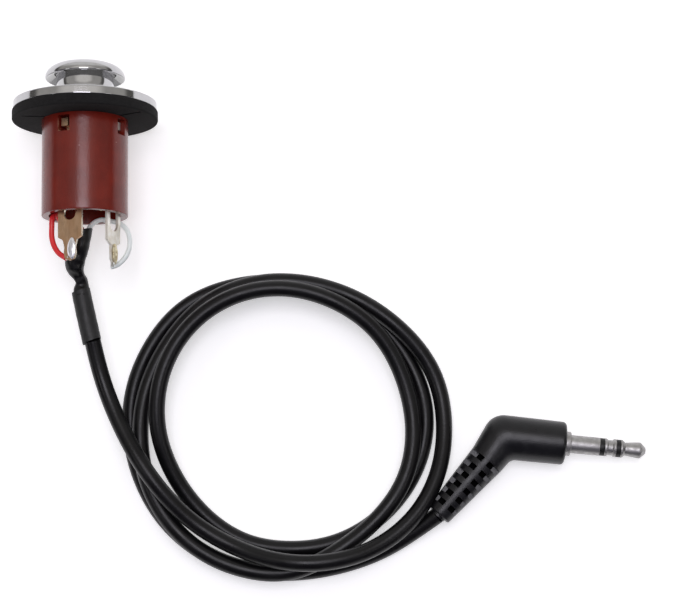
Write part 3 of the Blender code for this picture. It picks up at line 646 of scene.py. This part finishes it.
def turn_z(degrees):
    return Matrix.Rotation(math.radians(degrees), 4, "Z")


def on_axis(azimuth, radius, height):
    """A place in the jack's frame. Azimuth is from straight up towards the model's +X."""
    angle = math.radians(azimuth)
    return (-radius * math.sin(angle) * MM, radius * math.cos(angle) * MM, height * MM)


def spline_points(route, spacing):
    """Evenly spaced points along the natural cubic spline through the route."""
    knots = np.array(route, float)
    chords = np.linalg.norm(np.diff(knots, axis=0), axis=1)
    system = np.eye(len(knots))
    slopes = np.zeros_like(knots)
    for i in range(1, len(knots) - 1):
        before, after = chords[i - 1], chords[i]
        system[i, i - 1 : i + 2] = before, 2 * (before + after), after
        slopes[i] = 6 * ((knots[i + 1] - knots[i]) / after - (knots[i] - knots[i - 1]) / before)
    bends = np.linalg.solve(system, slopes)
    fine = []
    for i, chord in enumerate(chords):
        for t in np.linspace(0, chord, 24, endpoint=False):
            rest = chord - t
            curve = (bends[i] * rest**3 + bends[i + 1] * t**3) / (6 * chord)
            start = (knots[i] / chord - bends[i] * chord / 6) * rest
            end = (knots[i + 1] / chord - bends[i + 1] * chord / 6) * t
            fine.append(curve + start + end)
    fine = np.array(fine + [knots[-1]])
    along = np.concatenate([[0], np.cumsum(np.linalg.norm(np.diff(fine, axis=0), axis=1))])
    wanted = np.linspace(0, along[-1], max(3, round(along[-1] / spacing) + 1))
    return np.stack([np.interp(wanted, along, fine[:, k]) for k in range(3)], axis=1)


def tube(name, route, diameter, spacing, finish, resolution=6, widths=None):
    """A round curve with filled ends along the spline through a route in millimetres."""
    points = spline_points(route, spacing)
    curve = bpy.data.curves.new(name, "CURVE")
    curve.dimensions = "3D"
    curve.bevel_depth = diameter / 2 * MM
    curve.bevel_resolution = resolution
    curve.use_fill_caps = True
    spline = curve.splines.new("POLY")
    spline.points.add(len(points) - 1)
    for i, (target, point) in enumerate(zip(spline.points, points)):
        target.co = (*(point * MM), 1.0)
        if widths:
            at = i / (len(points) - 1) * (len(widths) - 1)
            target.radius = float(np.interp(at, range(len(widths)), widths))
    spline.use_smooth = True
    curve.materials.append(finish)
    obj = bpy.data.objects.new(name, curve)
    bpy.context.collection.objects.link(obj)
    return obj


def loft(loops):
    """A closed bmesh over loops of points, with a face over each end."""
    shape = bmesh.new()
    rows = [[shape.verts.new(point) for point in loop] for loop in loops]
    count = len(rows[0])
    for first, second in zip(rows, rows[1:]):
        for k in range(count):
            n = (k + 1) % count
            shape.faces.new((first[k], first[n], second[n], second[k]))
    shape.faces.new(rows[0])
    shape.faces.new(rows[-1][::-1])
    return shape


# ---------------------------------------------------------------- the jack


def strap_button():
    rim = CAP_RADIUS - CROWN_RADIUS
    mouth = SOCKET_RADIUS + SOCKET_CHAMFER
    lip = 0.2
    dome = CROWN_HEIGHT - CAP_RIM
    profile = [(SOCKET_RADIUS, CROWN_HEIGHT - SOCKET_CHAMFER)]
    profile += arc((mouth + lip, CROWN_HEIGHT - lip), lip, 150, 90, 4)
    for t in np.linspace(0, math.pi / 2, 28):
        profile.append((CROWN_RADIUS + rim * math.sin(t), CAP_RIM + dome * math.cos(t)))
    profile += arc((CAP_RADIUS - SMALL_ROUND, CAP_BOTTOM + SMALL_ROUND), SMALL_ROUND, 0, -90, 8)
    profile += arc((NECK_RADIUS + NECK_FILLET, NECK_TOP - NECK_FILLET), NECK_FILLET, 90, 180, 16)
    profile += arc((NECK_RADIUS + NECK_FLARE, FLANGE_TOP + NECK_FLARE), NECK_FLARE, 180, 268, 24)
    profile += arc((FLANGE_RADIUS - SMALL_ROUND, FLANGE_TOP - SMALL_ROUND), SMALL_ROUND, 90, 0, 8)
    # Two points just inside its roundings keep the rim's face flat in the shading.
    edges = (FLANGE_TOP - SMALL_ROUND - 0.05, FLANGE_BOTTOM + SHARP_ROUND + 0.05)
    profile += [(FLANGE_RADIUS, height) for height in edges]
    profile += arc((FLANGE_RADIUS - SHARP_ROUND, FLANGE_BOTTOM + SHARP_ROUND), SHARP_ROUND, 0, -90, 6)
    profile += [(SPIGOT_RADIUS, FLANGE_BOTTOM), (SPIGOT_RADIUS, SPIGOT_END)]
    profile.append((SOCKET_RADIUS, SPIGOT_END))
    obj = place_mesh("button_turning", lathe(profile, FINE_TURN_STEPS), JACK, CHROME, sharp=50)
    show(obj, "strap_button")


def foam_gasket():
    soft = 0.3
    top = FLANGE_BOTTOM - 0.02
    bore = BODY_RADIUS + 0.03
    profile = arc((GASKET_RADIUS - soft, soft), soft, -90, 0, 7)
    profile += arc((GASKET_RADIUS - soft, top - soft), soft, 0, 90, 7)
    profile += [(bore, top), (bore, 0.0)]
    profile += [(r, 0.0) for r in np.linspace(bore, GASKET_RADIUS - soft, 22)[1:-1]]
    obj = place_mesh("gasket_ring", lathe(profile, FINE_TURN_STEPS), JACK, FOAM, sharp=60)
    slits = bmesh.new()
    for start, end in GASKET_SLITS:
        run = Vector(end) - Vector(start)
        turn = Matrix.Rotation(math.atan2(run.y, run.x), 4, "Z")
        place = Matrix.Translation((*start, 0)) @ turn
        low, high = (0, -GASKET_SLIT / 2, -1.0), (run.length, GASKET_SLIT / 2, GASKET_HEIGHT / 2)
        add_box(slits, low, high, place)
    combine(obj, slits)
    show(obj, "foam_gasket")


def jack_body():
    soft = 0.18
    profile = [(COLLAR_BORE, GASKET_HEIGHT), (BODY_RADIUS, GASKET_HEIGHT)]
    profile += [(BODY_RADIUS, h) for h in np.linspace(GASKET_HEIGHT, BODY_END + soft, 12)[1:-1]]
    profile += arc((BODY_RADIUS - soft, BODY_END + soft), soft, 0, -90, 6)
    profile += arc((BODY_BORE + soft, BODY_END + soft), soft, -90, -180, 6)
    profile += [(BODY_BORE, BULKHEAD_END), (COLLAR_BORE, BULKHEAD_END)]
    obj = place_mesh("body_moulding", lathe(profile), JACK, BODY_RED)
    pockets, windows = bmesh.new(), bmesh.new()
    for azimuth in POCKET_AZIMUTHS:
        low = (-POCKET_HALF, POCKET_DEPTH[0], BULKHEAD_END - 1)
        high = (POCKET_HALF, POCKET_DEPTH[1], POCKET_TOP)
        add_box(pockets, low, high, turn_z(azimuth))
        low, high = WINDOW_HEIGHTS
        corners = [(-WINDOW_HALF, low), (WINDOW_HALF, low)]
        corners += [(WINDOW_HALF, high), (-WINDOW_HALF, high)]
        window = slab(rounded(corners, 0.18), POCKET_DEPTH[1] - 0.5, BODY_RADIUS + 1)
        bmesh.ops.transform(window, matrix=turn_z(azimuth), verts=window.verts[:])
        merge(windows, window)
    combine(obj, pockets)
    combine(obj, windows)
    show(obj, "jack_body")


def merge(target, shape):
    """Adds one bmesh to another."""
    mesh = bpy.data.meshes.new("merge")
    shape.to_mesh(mesh)
    shape.free()
    target.from_mesh(mesh)
    bpy.data.meshes.remove(mesh)


def mirrored(half, shift=0.0):
    """A whole outline from the half at +x, with the points of the blade moved sideways."""

    def moved(corner, sign):
        across, height, *radius = corner
        return (sign * across - (shift if height < STRIP_END else 0.0), height, *radius)

    right = [moved(corner, 1) for corner in half]
    left = [moved(corner, -1) for corner in half if corner[0] > 1e-6]
    return right + left[::-1]


def strip_half(blade):
    """Half of a terminal's outline: the hooked barb in its window, the strip, then the blade."""
    hook = [(BARB_HALF, BARB_TOP, 0.15), (BARB_HALF, BARB_TOP - 1.35, 0.1), (0.35, BARB_TOP - 1.6, 0.1)]
    washer = WASHER_HEIGHTS[0]
    strip = [(0.35, washer - 0.3), (STRIP_HALF, washer - 1.2), (STRIP_HALF, STRIP_END)]
    return hook + strip + blade


def barb(root):
    """The block that stands in a window of the body and holds a strip there."""
    shape = bmesh.new()
    half = BARB_HALF - 0.1
    add_box(shape, (-half, root, BARB_HEIGHTS[0]), (half, BARB_REACH, BARB_HEIGHTS[1]))
    return shape


def sleeve_terminal():
    blade = [(STRIP_HALF, -14.8, 0.6), (LUG_HALF, -15.8, 0.4), (LUG_HALF, LUG_SHOULDER, 0.35)]
    blade += [(LUG_TAB_HALF + 0.25, LUG_SHOULDER - 0.5, 0.7)]
    blade += [(LUG_TAB_HALF - 0.15, LUG_SHOULDER - 2.0, 1.0), (LUG_TAB_HALF, LUG_TIP + 1.6, 0.5)]
    blade += [(LUG_TAB_HALF - 0.25, LUG_TIP + 0.45, 0.5), (0.0, LUG_TIP, 1.2)]
    shape = slab(rounded(mirrored(strip_half(blade), LUG_SHIFT), 0.2), STRIP_INNER, STRIP_OUTER)
    obj = place_mesh("lug_plate", shape, JACK @ turn_z(SLEEVE_AZIMUTH), BRASS)
    centre = (-LUG_SHIFT, LUG_HOLE_HEIGHT)
    combine(obj, slab(arc(centre, LUG_HOLE_RADIUS, 0, 352.5, 48), STRIP_INNER - 1, STRIP_OUTER + 1))
    low, high = WASHER_HEIGHTS
    ring = [(NUT_RADIUS, high), (NUT_RADIUS, low), (COLLAR_BORE, low), (COLLAR_BORE, high)]
    combine(obj, lathe(ring, SMALL_TURN_STEPS), "UNION")
    middle = (STRIP_INNER + STRIP_OUTER) / 2
    arm = bmesh.new()
    add_box(arm, (-ARM_HALF, COLLAR_BORE + 0.15, low), (ARM_HALF, middle, high))
    combine(obj, arm, "UNION")
    combine(obj, barb(middle), "UNION")
    obj.data.materials.append(BRASS_EDGE)
    for face in obj.data.polygons:
        if abs(face.normal.x) > 0.7 and face.center.z < STRIP_END * MM:
            face.material_index = 1
    soften(obj, 0.07)
    show(obj, "sleeve_terminal")


def tip_terminal():
    blade = [(STRIP_HALF, -14.4, 0.5), (FORK_HALF, -15.2, 0.5), (FORK_HALF, FORK_SHOULDER, 0.3)]
    blade += [(FORK_TAIL_HALF + 0.1, FORK_SHOULDER - 0.7, 0.3), (FORK_TAIL_HALF, FORK_TIP + 0.5, 0.2)]
    blade += [(FORK_TAIL_HALF - 0.5, FORK_TIP, 0.25)]
    near, far = STRIP_INNER + FORK_OFFSET, STRIP_OUTER + FORK_OFFSET
    shape = slab(rounded(mirrored(strip_half(blade)), 0.2), near, far)
    obj = place_mesh("fork_plate", shape, JACK @ turn_z(TIP_AZIMUTH), TINNED)
    low, high = FORK_SLOT_HEIGHTS
    slot = arc((0, low + FORK_SLOT_HALF), FORK_SLOT_HALF, 180, 360, 25)
    slot += arc((FORK_SLOT_HALF - 0.5, high - 0.5), 0.5, 0, 90, 6)
    slot += arc((0.5 - FORK_SLOT_HALF, high - 0.5), 0.5, 90, 180, 6)
    combine(obj, slab(slot, near - 1, far + 1))
    combine(obj, barb((near + far) / 2), "UNION")
    soften(obj, 0.08)
    show(obj, "tip_terminal")


def solder_bead(name, finish, azimuth, face, height, half_size, shift, node):
    """A lumpy flattened bead on the outer face of a terminal."""
    shape = bmesh.new()
    bmesh.ops.create_uvsphere(shape, u_segments=40, v_segments=28, radius=1.0)
    for vert in shape.verts:
        lump = noise.noise(vert.co * 1.7 + Vector((height, shift, 0)))
        vert.co *= 1 + 0.16 * lump
        vert.co.y = max(vert.co.y, -0.75)
    bmesh.ops.scale(shape, verts=shape.verts[:], vec=half_size)
    bmesh.ops.translate(shape, verts=shape.verts[:], vec=(-shift, 0, 0))
    place = Matrix.Translation(on_axis(azimuth, face + half_size[1] * 0.7, height))
    obj = place_mesh(name, shape, JACK @ place @ turn_z(azimuth), finish, sharp=60)
    show(obj, node)


# ---------------------------------------------------------------- wires and heat-shrink


def add_wires():
    """The two insulated wires, from inside the heat-shrink to their stripped and soldered ends."""
    red_route = ((-0.6, -13.8, 12.1), (-0.8, -12.2, 12.6), *RED_WIRE_ROUTE[1:], (-2.9, -18.8, 18.4))
    red = tube("red_lead", red_route, RED_WIRE_DIAMETER, WIRE_SPACING, RED_SKIN)
    show(red, "red_wire")
    white_route = ((0.0, -13.8, 12.0), (0.4, -12.3, 12.3), *WHITE_WIRE_ROUTE[1:], (5.05, -19.95, 14.5))
    white = tube("white_lead", white_route, WHITE_WIRE_DIAMETER, WIRE_SPACING, WHITE_SKIN)
    show(white, "white_wire")
    red_end = ((-3.3, -18.7, 18.1), (-2.8, -18.95, 18.5), (-2.5, -18.9, 19.1), (-2.3, -18.6, 19.6))
    bare = {"spacing": WIRE_SPACING / 2, "finish": STRANDS, "resolution": 4, "widths": STRAND_WIDTHS}
    strands = tube("red_lead_strands", red_end, RED_STRANDS_DIAMETER, **bare)
    show(strands)
    white_end = ((5.5, -19.85, 14.5), (5.4, -19.8, 14.9), (5.4, -19.5, 15.7), (5.5, -18.9, 16.5))
    tails = tube("white_lead_strands", white_end, WHITE_STRANDS_DIAMETER, **bare)
    show(tails)
    return [red, white]


def shrink_skin(route, widths, dents, slants, ripple, spacing=0.16, steps=72, wall=0.3, depth=1.8):
    """A heat-shrink sleeve with open slanted ends, as a closed bmesh.

    A dent is (share of the length, angle, depth, half length, half angle). A slant is how far
    each end's cut leans, in millimetres, and the angle of its long side.
    """
    points = spline_points(route, spacing)
    count = len(points)
    tangents = np.gradient(points, axis=0)
    loops = []
    inner = []
    for i, (point, tangent) in enumerate(zip(points, tangents)):
        along = Vector(tangent).normalized()
        side = along.cross(Vector((0, 0, 1))).normalized()
        up = side.cross(along)
        share = i / (count - 1)
        width = SLEEVE_RADIUS * float(np.interp(share * (len(widths) - 1), range(len(widths)), widths))
        loop, bore = [], []
        for step in range(steps):
            angle = 360 * step / steps
            turn = math.radians(angle)
            radius = width
            for at, facing, low, reach, spread in dents:
                off = (angle - facing + 180) % 360 - 180
                radius -= low * math.exp(-(((share - at) / reach) ** 2) - (off / spread) ** 2)
            out = side * math.cos(turn) + up * math.sin(turn)
            radius += ripple * noise.noise(Vector(point) * 0.9 + out * 1.3)
            slide = 0.0
            for near, (lean, facing) in zip((1 - share, share), slants):
                slide += lean * max(0.0, near * 4 - 3) * math.cos(turn - math.radians(facing))
            loop.append(Vector(point) + out * radius + along * slide)
            bore.append(Vector(point) + out * (radius - wall) + along * slide)
        loops.append(loop)
        inner.append(bore)
    first = Vector(tangents[0]).normalized() * depth
    last = Vector(tangents[-1]).normalized() * depth
    start = [[p + first for p in inner[0]], inner[0]]
    end = [inner[-1], [p - last for p in inner[-1]]]
    return loft(start + loops + end)


def add_heat_shrink():
    dents = (
        (0.36, 85, 0.30, 0.05, 40), (0.47, 5, -0.15, 0.1, 60), (0.66, 175, 0.25, 0.1, 45),
        (0.70, 70, 0.45, 0.09, 45), (0.82, 110, 0.35, 0.05, 60), (0.80, 0, 0.35, 0.05, 40),
    )
    route = (*UPPER_SLEEVE_ROUTE, (-1.25, -24.6, 9.1))
    widths = (*UPPER_SLEEVE_WIDTHS, 0.88)
    shape = shrink_skin(route, widths, dents, slants=((0.5, 0), (0.0, 0)), ripple=0.1)
    upper = place_mesh("upper_sleeve", shape, WORLD, SHRINK, sharp=60)
    show(upper, "upper_shrink_sleeve")
    dents = ((0.15, 90, 0.06, 0.2, 50), (0.6, 120, 0.05, 0.3, 40), (0.97, 100, -0.05, 0.05, 90))
    route = ((-1.45, -23.5, 9.0), *LOWER_SLEEVE_ROUTE[1:-1], (0.68, -33.4, 8.55))
    widths = (0.98, 1.0, 1.0, 1.0)
    shape = shrink_skin(route, widths, dents, slants=((0.15, 0), (0.25, 0)), ripple=0.04)
    lower = place_mesh("lower_sleeve", shape, WORLD, SHRINK_MATTE, sharp=60)
    show(lower, "lower_shrink_sleeve")
    return [upper, lower]


# ---------------------------------------------------------------- the cable and its plug


def signal_cable():
    height = CABLE_DIAMETER / 2 + TABLE_CLEARANCE
    route = [(x, y, lift + height) for x, y, lift in CABLE_ROUTE]
    cable = tube("cable", route, CABLE_DIAMETER, spacing=0.9, finish=JACKET, resolution=8)
    show(cable, "signal_cable")
    return cable, Vector(route[0]) * MM


def direction(angle):
    return Vector((math.cos(math.radians(angle)), math.sin(math.radians(angle)), 0))


def corner_arc(first, second, radius, shares):
    """Points on the fillet between two lines, each (a point, the direction away from their corner)."""
    start, along = first
    other, away = second
    gap = other - start
    corner = start + along * ((gap.x * away.y - gap.y * away.x) / (along.x * away.y - along.y * away.x))
    half = along.angle(away) / 2
    centre = corner + (along + away).normalized() * (radius / math.sin(half))
    run = radius / math.tan(half)
    near, far = corner + along * run - centre, corner + away * run - centre
    return [centre + near.slerp(far, share).normalized() * radius for share in shares]


def bend_contours(steps):
    """The moulding's outer and inner outlines round the bend, in pairs from the head to the leg."""
    head, leg = direction(HEAD_ANGLE), direction(LEG_ANGLE)
    head_side, leg_side = direction(HEAD_ANGLE + 90), direction(LEG_ANGLE - 90)
    back = (head * HEAD_LENGTH + head_side * HEAD_RADIUS, direction(HEAD_ANGLE - HEAD_LEAN))
    neck = (leg * STRAIGHT_START + leg_side * LEG_START_RADIUS, direction(LEG_ANGLE + NECK_LEAN))
    belly = (head * HEAD_LENGTH - head_side * HEAD_RADIUS, head)
    under = (leg * STRAIGHT_START - leg_side * LEG_START_RADIUS, leg)
    shares = [step / steps for step in range(steps + 1)]
    outer = corner_arc(back, neck, OUTER_FILLET, shares)
    inner = corner_arc(belly, under, INNER_FILLET, shares)
    pairs = []
    for share in shares[1:-1]:
        pairs.append((back[0].lerp(outer[0], share), belly[0].lerp(inner[0], share)))
    pairs += zip(outer, inner)
    for share in shares[1:-1]:
        pairs.append((outer[-1].lerp(neck[0], share), inner[-1].lerp(under[0], share)))
    return pairs


def overmould_rings():
    """Rings from the head's end to the leg's: (centre, side, half width, half height)."""
    head, leg = direction(HEAD_ANGLE), direction(LEG_ANGLE)
    head_side, leg_side = direction(HEAD_ANGLE + 90), direction(LEG_ANGLE - 90)
    rings = [(head * HEAD_LENGTH, head_side, COLLAR_RADIUS, COLLAR_RADIUS)]
    for x, y in arc((HEAD_LENGTH - HEAD_ROUND, HEAD_RADIUS - HEAD_ROUND), HEAD_ROUND, 0, 90, 9):
        rings.append((head * x, head_side, y, y))
    # The first pairs would crowd the rings of the head's rounded end, so they are left out.
    pairs = bend_contours(BEND_STEPS)
    for step, (far, near) in enumerate(pairs[BEND_SKIPPED:], 1):
        height = HEAD_RADIUS + (LEG_START_RADIUS - HEAD_RADIUS) * step / len(pairs)
        rings.append(((far + near) / 2, (far - near).normalized(), (far - near).length / 2, height))
    end = LEG_LENGTH + LEG_OVERLAP
    for x in np.linspace(STRAIGHT_START, end - LEG_ROUND, 26):
        share = (x - STRAIGHT_START) / (LEG_LENGTH - STRAIGHT_START)
        radius = LEG_START_RADIUS + (LEG_END_RADIUS - LEG_START_RADIUS) * share
        rings.append((leg * x, leg_side, radius, radius))
    for x, y in arc((end - LEG_ROUND, radius - LEG_ROUND), LEG_ROUND, 90, 0, 5)[1:]:
        rings.append((leg * x, leg_side, y, y))
    # A spigot the size of the cable closes the gap to the cable's end.
    for x in (end, end + LEG_SPIGOT):
        rings.append((leg * x, leg_side, CABLE_DIAMETER / 2, CABLE_DIAMETER / 2))
    return rings


def plug_overmould():
    angles = [math.tau * step / MOULDING_STEPS for step in range(MOULDING_STEPS)]
    loops = []
    for centre, side, width, height in overmould_rings():
        loop = []
        for angle in angles:
            lift = Vector((0, 0, height * math.sin(angle)))
            loop.append(centre + side * (width * math.cos(angle)) + lift)
        loops.append(loop)
    place = Matrix.Translation(Vector(BEND) * MM)
    obj = place_mesh("plug_moulding", loft(loops), place, MOULDING)
    reach = HEAD_RADIUS + 1
    # Each slot is deep beside the spine and shallower beyond the step.
    shallow = (RELIEF_STEP, reach, RELIEF_WEB_HALF * 2.2)
    deep = (RELIEF_SPINE_HALF, RELIEF_STEP + 0.01, RELIEF_WEB_HALF / 3)
    for inner, outer, floor in (shallow, deep):
        slots = bmesh.new()
        for k in range(RELIEF_SLOTS):
            start = RELIEF_FIRST + RELIEF_PITCH * k - RELIEF_SLOT_WIDTH / 2
            for across in ((-outer, -inner), (inner, outer)):
                for up in ((-reach, -floor), (floor, reach)):
                    low = (start, across[0], up[0])
                    high = (start + RELIEF_SLOT_WIDTH, across[1], up[1])
                    add_box(slots, low, high, turn_z(LEG_ANGLE))
        combine(obj, slots)
    # The deep floors get the near-black rough finish as painted shade.
    obj.data.materials.append(RELIEF_PAINTED_SHADE)
    for face in obj.data.polygons:
        if abs(face.center.z) < 0.3 * MM and abs(face.normal.z) > 0.9:
            face.material_index = 1
    show(obj, "plug_overmould")
    return obj


def pin_piece(name, profile, finish, node):
    """A turned piece of the pin. Its profile runs along the head's axis from the bend."""
    across = Matrix.Rotation(math.radians(HEAD_ANGLE), 4, "Z") @ Matrix.Rotation(math.pi / 2, 4, "Y")
    place = Matrix.Translation(Vector(BEND) * MM) @ across
    return show(place_mesh(name, lathe(profile, SMALL_TURN_STEPS), place, finish), node)


def rod(start, end, radius, soft=0.12):
    """A rod with rounded ends, as (radius, distance) points from its far end to its near end."""
    far = arc((radius - soft, end - soft), soft, 90, 0, 5)
    near = arc((radius - soft, start + soft), soft, 0, -90, 5)
    return [(0, end), *far, *near, (0, start)]


def plug_pin():
    flush = PIN_RADIUS - 0.05
    gap = PIN_GAP / 4
    start, end = RING_INSULATOR[1] + gap, TIP_INSULATOR[0] - gap
    groove = PIN_RADIUS - 0.28
    soft = 0.08
    ring_contact = [(0, end), *arc((PIN_RADIUS - soft, end - soft), soft, 90, 0, 4)]
    ring_contact += [(PIN_RADIUS, end - 0.42), (groove, end - 0.7)]
    ring_contact += [(groove, start + 0.7), (PIN_RADIUS, start + 0.42)]
    ring_contact += [*arc((PIN_RADIUS - soft, start + soft), soft, 0, -90, 4), (0, start)]
    start = TIP_INSULATOR[1] + gap
    shoulder = PIN_END - 0.95
    tip = [(0, PIN_END), (PIN_FLAT, PIN_END), (PIN_FLAT + 0.2, PIN_END - 0.08)]
    land = PIN_RADIUS - 0.2
    tip += [(groove, shoulder), (land, shoulder - 0.12), (land, shoulder - 0.4)]
    tip += [(PIN_WAIST + 0.06, start + 1.3), (PIN_WAIST, start + 0.85), (flush, start + 0.35)]
    tip += [(PIN_RADIUS, start + 0.2), (flush, start), (0, start)]
    sleeve = rod(COLLAR_END - PIN_GAP, RING_INSULATOR[0] - gap, PIN_RADIUS)
    collar = rod(HEAD_LENGTH - 0.4, COLLAR_END, COLLAR_RADIUS, 0.2)
    insulators = [rod(*ends, flush, 0.04) for ends in (RING_INSULATOR, TIP_INSULATOR)]
    pieces = (
        ("collar", collar, NICKEL, "collar_nickel"),
        ("sleeve", sleeve, NICKEL, "sleeve_nickel"),
        ("ring_insulator", insulators[0], BLACK_RING, "ring_insulator"),
        ("ring", ring_contact, NICKEL, "ring_nickel"),
        ("tip_insulator", insulators[1], BLACK_RING, "tip_insulator"),
        ("tip", tip, NICKEL, "tip_nickel"),
    )
    return [
        pin_piece(f"pin_{part}", profile, finish, f"plug_{part}")
        for part, profile, finish, slot in pieces
    ]


def finish_cad_nodes():
    """Better materials for the turned and stamped parts inside the body, whose CAD shape stays."""
    finishes = {
        "lock_washer": STEEL,
        "retaining_nut": NUT_BRASS,
        "contact_carrier": CARRIER,
        "tip_contact_spring": BRONZE,
        "sleeve_contact_spring": BRONZE,
    }
    for node, finish in finishes.items():
        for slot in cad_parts[node].material_slots:
            slot.material = finish


def build():
    add_camera()
    cable, cable_exit = signal_cable()
    on_cord = add_heat_shrink() + add_wires() + [plug_overmould()] + plug_pin()
    strap_button()
    foam_gasket()
    jack_body()
    sleeve_terminal()
    tip_terminal()
    solder_bead(
        "lug_solder_bead", SOLDER, SLEEVE_AZIMUTH, face=STRIP_OUTER, height=-25.9,
        half_size=(0.85, 0.45, 2.0), shift=LUG_SHIFT + 0.65, node="lug_solder_joint",
    )
    solder_bead(
        "fork_solder_bead", FLUXED, TIP_AZIMUTH, face=STRIP_OUTER + FORK_OFFSET, height=-26.5,
        half_size=(0.8, 0.35, 1.9), shift=0.0, node="fork_solder_joint",
    )
    finish_cad_nodes()
    add_studio()


build()
